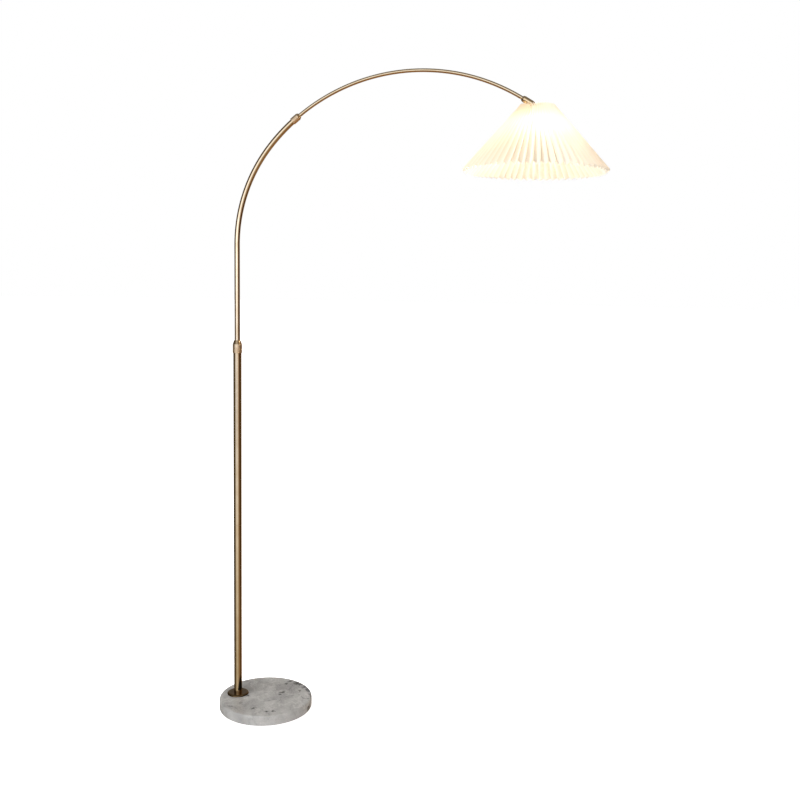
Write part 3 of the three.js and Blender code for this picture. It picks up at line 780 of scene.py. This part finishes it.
def pole_lock():
    base = bottom_of("pole_lock_nut")
    outside = [(12.4, 0, 0.2), (13.1, 0, 0.3), (13.6, 0.8, 0.4), (13.6, 25.6, 0.4), (13, 26.6, 0.5)]
    lip = [(9.5, 36.5, 0.6), (9.1, 37, 0.3), (8.4, 37, 0.2)]
    inside = [(8.4, 31, 0), (10.1, 30.5, 0), (10.9, 26, 0), (10.9, 9.8, 0), (12.4, 9.8, 0)]
    outline = in_mm(outside + lip + inside, base)
    nut = lock_nut("pole_lock_nut_knurled", outline, base + 0.0022, base + 0.0244, 48, 288)
    settle(place_at(nut, POLE_X), "pole_lock_nut", "pole_nut", KNURLED)
    polish_above(nut, base + 0.0256)


def arm_lock():
    outside = [(9.25, -14, 0.2), (9.6, -14, 0.2), (9.9, -13.6, 0.2), (9.9, 7.5, 0.3), (9.4, 8.1, 0.3)]
    lip = [(7, 12.4, 0.4), (6.6, 13, 0.2), (5.9, 13, 0.2)]
    inside = [(5.9, 7.8, 0), (8.45, 7.5, 0), (9.25, 5, 0)]
    outline = in_mm(outside + lip + inside)
    nut = lock_nut("arm_lock_nut_knurled", outline, -0.0126, 0.0066, 40, 240)
    settle(place_on_arch(nut, MOUTH_ANGLE), "arm_lock_nut", "arm_nut", KNURLED)
    polish_above(nut, 0.0074)


# ---- Arm ----
def arm_tubes():
    low = bottom_of("lower_arm") - SHANK_TOP
    outline = ring_outline(SHANK_BORE, radius_of("lower_arm"), low, arch_distance(MOUTH_ANGLE))
    lower = swept("lower_arm_tube", dense(softened(outline, TUBE_EDGE), BEND_STEP), 64, along_arch)
    settle(lower, "lower_arm", "lower_arm_body", SATIN)

    low = arch_distance(MOUTH_ANGLE - INSERTED_ANGLE)
    high = arch_distance(ARM_END_ANGLE) + TUBE_IN_SLEEVE
    outline = ring_outline(TIP_BORE, radius_of("upper_arm"), low, high)
    upper = swept("upper_arm_tube", dense(softened(outline, TUBE_EDGE), BEND_STEP), 56, along_arch)
    settle(upper, "upper_arm", "upper_arm_body", SATIN)


def head_sleeve():
    outline = in_mm([(5.4, -2), (7, -2, 0.4), (8.8, 3.5, 1.2), (8.8, 30, 0.6), (5.4, 30)])
    sleeve = swept("head_sleeve_turned", softened(outline), 96)
    combine(sleeve, [rod((0, 0.002, 0.007), (0, 0.012, 0.007), 0.002)], "DIFFERENCE")
    place_on_arch(sleeve, ARM_END_ANGLE)
    settle(sleeve, "head_sleeve", "upper_arm_body", TURNED)


# ---- Knuckle ----
SLEEVE_TO_PIVOT = (HEAD_X - arch_at_angle(ARM_END_ANGLE).x) / math.sin(ARM_END_ANGLE)
PIVOT_HEIGHT = arch_at_angle(ARM_END_ANGLE).z + SLEEVE_TO_PIVOT * math.cos(ARM_END_ANGLE)
PIN_HOLE = 0.0025
PIN_RADIUS = 0.0022
SCREW_HEAD = 0.0044
FORK_SIDE = 0.0063
EAR_OFFSET = 0.0045
TAB_HALF_WIDTH = 0.0055


def tab(length, half_thickness, start):
    """A flat bar along Z with a round end, its faces across Y and its edges eased."""
    rows = [(-half_thickness, EDGE), (-half_thickness + EDGE, 0.0)]
    rows += [(half_thickness - EDGE, 0.0), (half_thickness, EDGE)]
    steps = 24
    vertices = []
    for y, inset in rows:
        reach = TAB_HALF_WIDTH - inset
        turns = [math.pi * step / steps for step in range(steps + 1)]
        rim = [(reach * math.cos(turn), length + reach * math.sin(turn)) for turn in turns]
        rim += [(-reach, start), (reach, start)]
        vertices += [(x, y, z) for x, z in rim]
    count = steps + 3
    faces = [tuple(range(count))]
    for row in range(len(rows) - 1):
        for step in range(count):
            a, b = row * count + step, row * count + (step + 1) % count
            faces.append((a, a + count, b + count, b))
    faces.append(tuple(reversed(range(3 * count, 4 * count))))
    return new_piece("tool", vertices, faces)


def pin_hole(height, reach):
    return rod((0, -reach, height), (0, reach, height), PIN_HOLE)


def knuckle_tongue():
    outline = in_mm([(0, 15), (5, 15), (5, 30.3, 0), (8, 30.3), (8, 33.5, 0.8), (0, 33.5)])
    tongue = swept("knuckle_tongue_milled", softened(outline), 64)
    combine(tongue, [tab(SLEEVE_TO_PIVOT, 0.0025, 0.032)], "UNION")
    combine(tongue, [pin_hole(SLEEVE_TO_PIVOT, 0.01)], "DIFFERENCE")
    place_on_arch(tongue, ARM_END_ANGLE)
    settle(tongue, "knuckle_tongue", "upper_arm_body", FLAT_BRASS)


def knuckle_fork():
    foot = PIVOT_HEIGHT - 0.020
    outline = in_mm([(2.8, -7), (5, -7), (5, 0, 0), (8.5, 0), (8.5, 4, 0.8), (2.8, 4)], foot)
    fork = swept("knuckle_fork_milled", softened(outline), 64)
    for side in (-1, 1):
        ear = tab(PIVOT_HEIGHT, 0.0015, foot + 0.002)
        ear.data.transform(Matrix.Translation((0, side * EAR_OFFSET, 0)))
        combine(fork, [ear], "UNION")
    combine(fork, [pin_hole(PIVOT_HEIGHT, 0.012)], "DIFFERENCE")
    settle(place_at(fork, HEAD_X), "knuckle_fork", "head", FLAT_BRASS)


def pivot_screw():
    tip, crown = -FORK_SIDE - 0.005, FORK_SIDE + 0.0026
    outline = [(0, tip), (PIN_RADIUS, tip, 0.0005), (PIN_RADIUS, FORK_SIDE, 0)]
    outline += [(SCREW_HEAD, FORK_SIDE, 0.0003), (SCREW_HEAD, crown, 0.0012), (0, crown, 0)]
    screw = swept("pivot_screw_slotted", softened(outline, 0.0003), 48)
    combine(screw, [block((0.012, 0.0011, 0.0012), (0, 0, crown))], "DIFFERENCE")
    place_on_pivot(screw, PIVOT_HEIGHT, math.pi / 2)
    settle(screw, "pivot_screw", "head", TURNED_STEEL)


def pivot_nut():
    nut = hex_nut("pivot_nut_hex", SCREW_HEAD, PIN_HOLE, FORK_SIDE, FORK_SIDE + 0.0034)
    place_on_pivot(nut, PIVOT_HEIGHT, -math.pi / 2)
    settle(nut, "pivot_nut", "head", TURNED_STEEL)


def block(size, centre):
    """A plain block, used only as a cutting tool."""
    corners = [(x, y, z) for x in (-1, 1) for y in (-1, 1) for z in (-1, 1)]
    vertices = [tuple(c + s * k / 2 for c, s, k in zip(centre, size, corner)) for corner in corners]
    faces = [(0, 1, 3, 2), (4, 6, 7, 5), (0, 4, 5, 1), (2, 3, 7, 6), (0, 2, 6, 4), (1, 5, 7, 3)]
    return new_piece("tool", vertices, faces)


# ---- Lampholder ----
def holder_cap():
    inside = [(5.3, -1.2), (9, -1.2, 0), (15.6, -7.2, 2), (19, -13, 1), (19, -19)]
    outside = [(20.2, -19), (20.2, -12, 3), (17, -5.4, 3), (9.6, 0, 2), (5.3, 0)]
    outline = softened(in_mm(inside + outside, top_of("holder_cap")), steps=6)
    settle_on_head("holder_cap_spun", "holder_cap", TURNED, outline)


def holder_skirt():
    bottom, top = span("holder_skirt")
    bore, barrel, flange = 0.0183, 0.0197, 0.024
    under, over = top - 0.006, top - 0.004
    outline = [(bore, bottom), (barrel, bottom), (barrel, under, 0.0002), (flange, under, 0.0006)]
    outline += [(flange, over, 0.0006), (barrel, over, 0.0002), (barrel, top), (bore, top)]
    thread = screw_thread(0.0025, 0.0006, bottom + 0.002, top - 0.0075, True)

    def on_barrel(turn, along, radius):
        return thread(turn, along, radius) if 0.0195 < radius < 0.0199 else 0

    outline = dense(softened(outline), 0.0006)
    settle_on_head(
        "holder_skirt_threaded", "holder_skirt", TURNED, outline, relief=on_barrel
    )


def shade_ring():
    bottom, top = span("shade_ring")
    bore, grip, flange = 0.0203, 0.024, 0.027
    outline = [(bore, bottom), (grip, bottom, 0.0006), (grip, top - 0.0025, 0.0003)]
    outline += [(flange, top - 0.0021, 0.0006), (flange, top, 0.0005), (bore, top)]

    def ribs(turn, along, radius):
        if radius < 0.0236 or along > top - 0.0028 or along < bottom + 0.0006:
            return 0
        return -0.0003 * (0.5 + 0.5 * math.cos(40 * turn))

    outline = dense(softened(outline), 0.0008)
    settle_on_head("shade_ring_ribbed", "shade_ring", TURNED, outline, 240, ribs)


def holder_core():
    bottom, top = span("holder_core")
    bore, body, wire_hole, web = 0.014, 0.018, 0.0019, top - 0.006
    outline = [(bore, bottom, 0.001), (body, bottom, 0.001), (body, top, 0.0008)]
    outline += [(wire_hole, top, 0.0003), (wire_hole, web, 0.0003), (bore, web, 0.0006)]
    settle_on_head("holder_core_glazed", "holder_core", CERAMIC, softened(outline))


# ---- Bulb ----
def bulb_glass():
    radius, cap_bottom = radius_of("bulb_glass"), bottom_of("bulb_cap")
    middle = bottom_of("bulb_glass") + radius
    globe_steps, neck_steps = 22, 10

    def skin(inset):
        """The globe from its lowest point to its shoulder, then the curve into the neck."""
        reach = radius - inset
        points = []
        for step in range(globe_steps + 1):
            angle = -math.pi / 2 + (math.pi / 2 + math.pi / 5) * step / globe_steps
            across = reach * math.cos(angle) if step else 0
            points.append((across, middle + reach * math.sin(angle), 0))
        shoulder = Vector(points[-1][:2])
        bend = Vector((0.0146 - inset, cap_bottom - 0.010))
        neck = Vector((0.0126 - inset, cap_bottom - 0.001))
        for step in range(1, neck_steps + 1):
            points.append((*curved(shoulder, bend, neck, step / neck_steps), 0))
        return points

    outline = softened(skin(0) + list(reversed(skin(0.001))))
    settle_on_head("bulb_glass_opal", "bulb_glass", OPAL, outline, 64)


def bulb_cap():
    bottom, top = span("bulb_cap")
    thread = screw_thread(0.0036, 0.0007, bottom + 0.002, top - 0.001, True)
    outline = dense(softened(ring_outline(0.0118, 0.0128, bottom, top), 0.0003), 0.0005)
    settle_on_head("bulb_cap_threaded", "bulb_cap", TURNED_STEEL, outline, 72, thread)


# ---- Shade ----
SHADE_SLOPE = math.atan2(SHADE_RIM_RADIUS - SHADE_TOP_RADIUS, SHADE_TOP - SHADE_RIM)
BULB_CENTRE = Vector((0, middle_of("bulb_glass").z - 0.008))
SLANT = math.hypot(SHADE_RIM_RADIUS - SHADE_TOP_RADIUS, SHADE_TOP - SHADE_RIM)


def on_shade(share, set_back):
    """Radius and height on the outer folds' cone, 0 at the rim and 1 at the top, set back from it."""
    radius = SHADE_RIM_RADIUS + (SHADE_TOP_RADIUS - SHADE_RIM_RADIUS) * share
    height = SHADE_RIM + (SHADE_TOP - SHADE_RIM) * share
    return radius - set_back * math.cos(SHADE_SLOPE), height - set_back * math.sin(SHADE_SLOPE)


def pleat_depth(share):
    half_pitch = math.pi * on_shade(share, PLEAT_WIDTH / 2)[0] / PLEATS
    return math.sqrt(PLEAT_WIDTH**2 - half_pitch**2)


def brightness(share):
    """How strongly the bulb lights the cone at a share of its height, less where it is gathered. It sets
    the glow painted into the cloth, and the drop where it is gathered is painted shade.
    """
    rim, top = Vector(on_shade(0, 0)), Vector(on_shade(1, 0))
    along = (top - rim).normalized()
    level = (BULB_CENTRE - rim).dot(along)
    distance = (BULB_CENTRE - rim - along * level).length
    aside = (share * SLANT - level) / distance
    gathered = min(1.0, max(0.0, (share - 0.72) / 0.2))
    return (1 + aside**2) ** -2.2 * (1 - 0.25 * gathered**2 * (3 - 2 * gathered))


def shade():
    """Cloth folded into pleats of one width, each a little uneven, and drawn together at the top."""
    across = [0.0, 0.035, 0.09, 0.3, 0.5, 0.7, 0.91, 0.965]
    rows = 36
    meridians = [(fold, across_share) for fold in range(FOLDS) for across_share in across]
    looseness, swaying, setting, slack = [
        [chance.uniform(-1, 1) for _ in range(FOLDS)] for _ in range(4)
    ]

    def fold_angle(fold, share):
        loose = looseness[fold] * 0.10 * (1 - 0.4 * share)
        sway = swaying[fold] * 0.16 * math.sin(math.pi * share) * (1 - share)
        lean = LEAN * share**2 / on_shade(share, PLEAT_WIDTH)[0] if fold % 2 else 0.0
        return fold / FOLDS * TURN + (loose + sway) * (TURN / FOLDS) + lean

    def fold_back(fold, share):
        uneven = 0.0005 * setting[fold] + 0.0009 * abs(slack[fold]) * share
        deep = math.sqrt(pleat_depth(share) ** 2 - (LEAN * share**2) ** 2)
        return abs(uneven) + (deep if fold % 2 else 0.0)

    def point(fold, across_share, share, behind):
        rounded = 0.5 - 0.5 * math.cos(math.pi * across_share)
        blend = across_share * 0.88 + rounded * 0.12
        after = (fold + 1) % FOLDS
        after_angle = fold_angle(after, share) + (0 if after else TURN)
        angle = fold_angle(fold, share) * (1 - blend) + after_angle * blend
        back = fold_back(fold, share) * (1 - blend) + fold_back(after, share) * blend
        radius, height = on_shade(share, back + behind)
        ruffle = 0.0 if fold % 2 else 0.0016 + 0.0008 * setting[fold]
        height += ruffle * (1 - across_share) * max(0.0, share - 0.94) / 0.06
        return Vector((radius * math.sin(angle), radius * math.cos(angle), height))

    vertices, weave, inner, lit = [], [], [], []
    for behind in (0.0, CLOTH_THICKNESS):
        for row in range(rows + 1):
            share = row / rows
            # Painted glow for each row, from how near the bulb is.
            lit += [PAINTED_CLOTH_GLOW * max(0.08, brightness(share))] * len(meridians)
            for fold, across_share in meridians:
                vertices.append(point(fold, across_share, share, behind))
                weave.append(((fold + across_share) * PLEAT_WIDTH, share * SLANT, 0.0))
                # How far across a pleat the point is, from 0 on an outer fold to 1 on an inner one; the
                # cloth's painted fold shade follows it.
                inner.append(1 - across_share if fold % 2 else across_share)
    columns = len(meridians)
    layer = (rows + 1) * columns
    faces = []
    for row in range(rows):
        for column in range(columns):
            after = (column + 1) % columns
            a, b = row * columns + column, row * columns + after
            faces.append((a, a + columns, b + columns, b))
            faces.append((layer + a, layer + b, layer + b + columns, layer + a + columns))
    top = rows * columns
    for column in range(columns):
        after = (column + 1) % columns
        faces.append((column, after, layer + after, layer + column))
        faces.append((top + column, layer + top + column, layer + top + after, top + after))
    cloth = new_piece("pleated_shade_cloth", vertices, faces, 80)
    keep_attribute(cloth, "weave", "FLOAT_VECTOR", weave)
    keep_attribute(cloth, "inner", "FLOAT", inner)
    keep_attribute(cloth, "lit", "FLOAT", lit)
    settle(place_at(cloth, HEAD_X), "pleated_shade", "head", CLOTH)


# ---- Shade frame ----
def wire(points, closed=False):
    """Vertices and faces of a round wire through points."""
    vertices, faces = [], []
    count = len(points)
    for index, here in enumerate(points):
        before = points[index - 1] if closed or index else here
        after = points[(index + 1) % count] if closed or index + 1 < count else here
        ahead = (after - before).normalized()
        side = ahead.orthogonal() if abs(ahead.z) > 0.99 else ahead.cross(UP).normalized()
        lift = side.cross(ahead)
        for step in range(WIRE_SIDES):
            turn = TURN * step / WIRE_SIDES
            vertices.append(here + (side * math.cos(turn) + lift * math.sin(turn)) * WIRE_RADIUS)
    for index in range(count if closed else count - 1):
        start, end = index * WIRE_SIDES, (index + 1) % count * WIRE_SIDES
        for step in range(WIRE_SIDES):
            after = (step + 1) % WIRE_SIDES
            faces.append((start + step, start + after, end + after, end + step))
    if not closed:
        faces.append(tuple(reversed(range(WIRE_SIDES))))
        faces.append(tuple((count - 1) * WIRE_SIDES + step for step in range(WIRE_SIDES)))
    return vertices, faces


def shade_frame():
    """Gallery, spokes, rings and ribs as one welded piece, just behind the inner folds."""
    top, middle = [
        on_shade(share, pleat_depth(share) + WIRE_BEHIND_FOLDS)
        for share in (TOP_RING_SHARE, MID_RING_SHARE)
    ]
    spoke_foot = (0.0245, top_of("shade_ring") + 0.0027 - 0.0012)

    def at(place, angle):
        return Vector((place[0] * math.cos(angle), place[0] * math.sin(angle), place[1]))

    def hoop(place):
        return wire([at(place, TURN * step / 96) for step in range(96)], closed=True)

    parts = [hoop(top), hoop(middle)]
    joints = []
    for spoke in range(SPOKES):
        angle = TURN * (spoke + 0.5) / SPOKES + math.pi / 3
        parts.append(wire([at(spoke_foot, angle), at(top, angle)]))
        joints.append(at(top, angle))
    for rib in range(RIBS):
        angle = TURN * (rib + 0.5) / RIBS
        parts.append(wire([at(top, angle), at(middle, angle)]))
        joints += [at(top, angle), at(middle, angle)]
    vertices, faces = [], []
    for part_vertices, part_faces in parts:
        start = len(vertices)
        vertices += part_vertices
        faces += [tuple(start + index for index in face) for face in part_faces]
    welded = new_piece("shade_frame_welded", vertices, faces)
    plate = in_mm([(20.1, 0.3), (26, 0.3, 0.4), (26, 2.7, 0.8), (20.1, 2.7)], top_of("shade_ring"))
    gallery = swept("shade_gallery", softened(plate), 96)
    for extra in [gallery, *(weld_bead(joint) for joint in joints)]:
        merge_into(welded, extra)
    settle(place_at(welded, HEAD_X), "shade_frame", "head", WIRE)
    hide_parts("shade_mid_ring", *(f"shade_rib_{rib + 1}" for rib in range(RIBS)))


def weld_bead(centre):
    """A small uneven lump of weld where two wires cross."""
    outline = []
    for step in range(9):
        angle = -math.pi / 2 + math.pi * step / 8
        reach = 0.0 if step in (0, 8) else 0.0021 * math.cos(angle)
        outline.append((reach, 0.0019 * math.sin(angle), 0.0))

    def lumps(turn, along, radius):
        at = Vector((math.cos(turn), math.sin(turn), along * 500))
        return 0.0003 * noise.noise(at + centre * 900)

    bead = swept("weld_bead", outline, 16, relief=lumps)
    bead.data.transform(Matrix.Translation(centre))
    return bead


def merge_into(piece, extra):
    """Adds another closed part to a piece's own mesh."""
    both = [piece, extra]
    with bpy.context.temp_override(active_object=piece, object=piece, selected_editable_objects=both):
        bpy.ops.object.join()


# ---- Inner pieces that keep their CAD shape ----
INNER = {
    "foot_plug": STEEL,
    "pole_coupling": STEEL,
    "pole_mouth_bush": STEEL,
    "arm_mouth_bush": STEEL,
    "pole_collet": WHITE,
    "arm_collet": WHITE,
    "shank_bush": BLACK,
    "arm_guide_plug": WHITE,
    "sleeve_screw": STEEL,
    "holder_contact": STEEL,
    "holder_shell": FLAT_BRASS,
    "bulb_insulator": BLACK,
    "bulb_stem": WHITE,
    "bulb_filament": GLOWING,
}


def inner_pieces():
    for node, surface in INNER.items():
        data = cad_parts[node].data
        data.materials.clear()
        data.materials.append(surface)


# ---- Studio ----
CAMERA_PLACE = Vector((0.8415, -2.6595, 1.2984))
CAMERA_TURN = 0.1646
CAMERA_PITCH = 0.1236
CAMERA_ROLL = 0.0192
CAMERA_LENS = 42.44
WINDOW_TURN = math.radians(11)
FLOOR_GLOW = 0.37

# Colours that reflections meet: across the room's walls, and up its ends and its window.
WALLS = [
    (0.0, (0.07, 0.052, 0.025)),
    (0.5, (0.1, 0.065, 0.03)),
    (0.7, (0.26, 0.18, 0.1)),
    (0.88, (0.36, 0.22, 0.11)),
    (0.94, (0.14, 0.075, 0.03)),
    (0.98, (0.03, 0.014, 0.005)),
]
ENDS = [
    (0.0, (0.34, 0.17, 0.06)),
    (0.25, (0.3, 0.17, 0.08)),
    (0.75, (0.17, 0.16, 0.14)),
    (1.0, (0.26, 0.25, 0.23)),
]
WINDOW_LIGHT = [
    (0.0, (0.4, 0.3, 0.2)),
    (0.3, (0.62, 0.56, 0.44)),
    (0.36, (0.88, 0.84, 0.78)),
    (0.4, (0.98, 1.0, 1.08)),
    (0.444, (0.8, 0.82, 0.95)),
    (0.5, (1.9, 2.0, 2.3)),
    (0.54, (1.9, 1.98, 2.2)),
    (0.6, (1.4, 1.45, 1.6)),
    (0.7, (0.9, 0.94, 1.02)),
    (1.0, (0.6, 0.6, 0.6)),
]


def camera():
    data = bpy.data.cameras.new("camera")
    data.lens = CAMERA_LENS
    data.sensor_width = 36
    data.clip_end = 200
    made = bpy.data.objects.new("camera", data)
    bpy.context.scene.collection.objects.link(made)
    level = Vector((math.cos(CAMERA_TURN), math.sin(CAMERA_TURN), 0))
    ahead = Vector((-math.sin(CAMERA_TURN), math.cos(CAMERA_TURN), 0))
    forward = ahead * math.cos(CAMERA_PITCH) - UP * math.sin(CAMERA_PITCH)
    lift = level.cross(forward)
    right = level * math.cos(CAMERA_ROLL) + lift * math.sin(CAMERA_ROLL)
    above = lift * math.cos(CAMERA_ROLL) - level * math.sin(CAMERA_ROLL)
    facing = Matrix((right, above, -forward)).transposed().to_4x4()
    made.matrix_world = Matrix.Translation(CAMERA_PLACE) @ facing
    bpy.context.scene.camera = made


def studio_world():
    """White behind the lamp; in reflections, soft light in front and behind, and a dim warm room."""
    graph = Graph("studio", bpy.data.worlds)
    bpy.context.scene.world = graph.material
    graph.tree.nodes.clear()
    rays = graph.add("TexCoord").outputs["Generated"]

    def ramp(source, stops):
        node = graph.add("ValToRGB", None, {0: source})
        elements = node.color_ramp.elements
        while len(elements) < len(stops):
            elements.new(0.5)
        for element, (position, tint) in zip(elements, stops):
            element.position = position
            element.color = (*tint, 1.0)
        return node.outputs[0]

    def greys(*stops):
        return [(position, (level, level, level)) for position, level in stops]

    def component(direction):
        """How far a ray points along direction, from 0 against it to 1 along it."""
        dot = graph.add("VectorMath", {"operation": "DOT_PRODUCT"}, {0: rays, 1: direction})
        inputs = {0: dot.outputs["Value"], 1: 0.5, 2: 0.5}
        return graph.add("Math", {"operation": "MULTIPLY_ADD"}, inputs).outputs[0]

    ahead = Vector((-math.sin(CAMERA_TURN), math.cos(CAMERA_TURN), 0))
    aside = Vector((math.cos(CAMERA_TURN), math.sin(CAMERA_TURN), 0))
    front = ahead * -math.cos(WINDOW_TURN) - aside * math.sin(WINDOW_TURN)
    height = component(UP)
    upright = ramp(height, greys((0.1, 1), (0.3, 0), (0.7, 0), (0.9, 1)))
    room = graph.mixed(upright, ramp(component(aside), WALLS), ramp(height, ENDS))
    light = ramp(height, WINDOW_LIGHT)
    window = ramp(component(front), greys((0.74, 0), (0.83, 0.18), (0.9, 0.55), (0.965, 1)))
    behind = ramp(component(ahead), greys((0.85, 0), (0.98, 0.3)))
    mirror = graph.mixed(behind, graph.mixed(window, room, light), light)

    studio = graph.add("Background", None, {"Color": mirror})
    white = graph.add("Background", None, {"Color": (1, 1, 1)})
    seen = graph.add("LightPath").outputs["Is Camera Ray"]
    chosen = graph.mixed_shaders(seen, studio, white)
    graph.add("OutputWorld", None, {"Surface": chosen.outputs[0]})


def soft_light(name, place, target, size, power):
    data = bpy.data.lights.new(name, "AREA")
    data.shape = "DISK"
    data.size = size
    data.energy = power
    made = bpy.data.objects.new(name, data)
    bpy.context.scene.collection.objects.link(made)
    made.location = place
    made.rotation_euler = (Vector(target) - Vector(place)).to_track_quat("-Z", "Y").to_euler()
    made.visible_glossy = False
    made.visible_camera = False


def floor():
    """A wide pale floor that nothing reflects, and that is clear when seen from below."""
    radius, columns = 60.0, 96
    turns = [TURN * column / columns for column in range(columns)]
    vertices = [(0, 0, 0)] + [(radius * math.cos(turn), radius * math.sin(turn), 0) for turn in turns]
    faces = [(0, 1 + column, 1 + (column + 1) % columns) for column in range(columns)]
    made = new_piece("floor", vertices, faces)
    made.location.z = -0.0005
    graph = Graph("pale_floor")
    mottle = graph.noise(graph.place(), 3.0, 2.0)
    pale = graph.mixed(mottle, (0.9, 0.9, 0.9), (0.87, 0.87, 0.87))
    graph.set(Base_Color=pale, Roughness=0.9, Specular_IOR_Level=0.0)
    seen = graph.add("LightPath").outputs["Is Camera Ray"]
    glow = graph.ranged(seen, 0.0, 1.0, FLOOR_GLOW, 1.0)
    graph.set(Emission_Color=(1, 1, 1), Emission_Strength=glow)
    clear = graph.add("BsdfTransparent")
    behind = graph.add("NewGeometry").outputs["Backfacing"]
    graph.end_with(graph.mixed_shaders(behind, graph.shader, clear))
    made.data.materials.append(graph.material)
    made.visible_glossy = False


camera()
studio_world()
floor()
soft_light("key", place=(-1.1, -1.3, 3.8), target=(0.1, 0, 0.4), size=2.2, power=121)
soft_light("fill", place=(2.6, -1.8, 2.2), target=(0.2, 0, 0.4), size=2.4, power=8)
bpy.context.scene.view_settings.view_transform = "Standard"

marble_stone()
felt_pad()
tie_rod_pieces()
foot_flange()
pole_tubes()
cord_grommet()
pole_lock()
arm_tubes()
head_sleeve()
arm_lock()
knuckle_tongue()
knuckle_fork()
pivot_screw()
pivot_nut()
holder_cap()
holder_skirt()
shade_ring()
holder_core()
bulb_glass()
bulb_cap()
shade_frame()
shade()
inner_pieces()
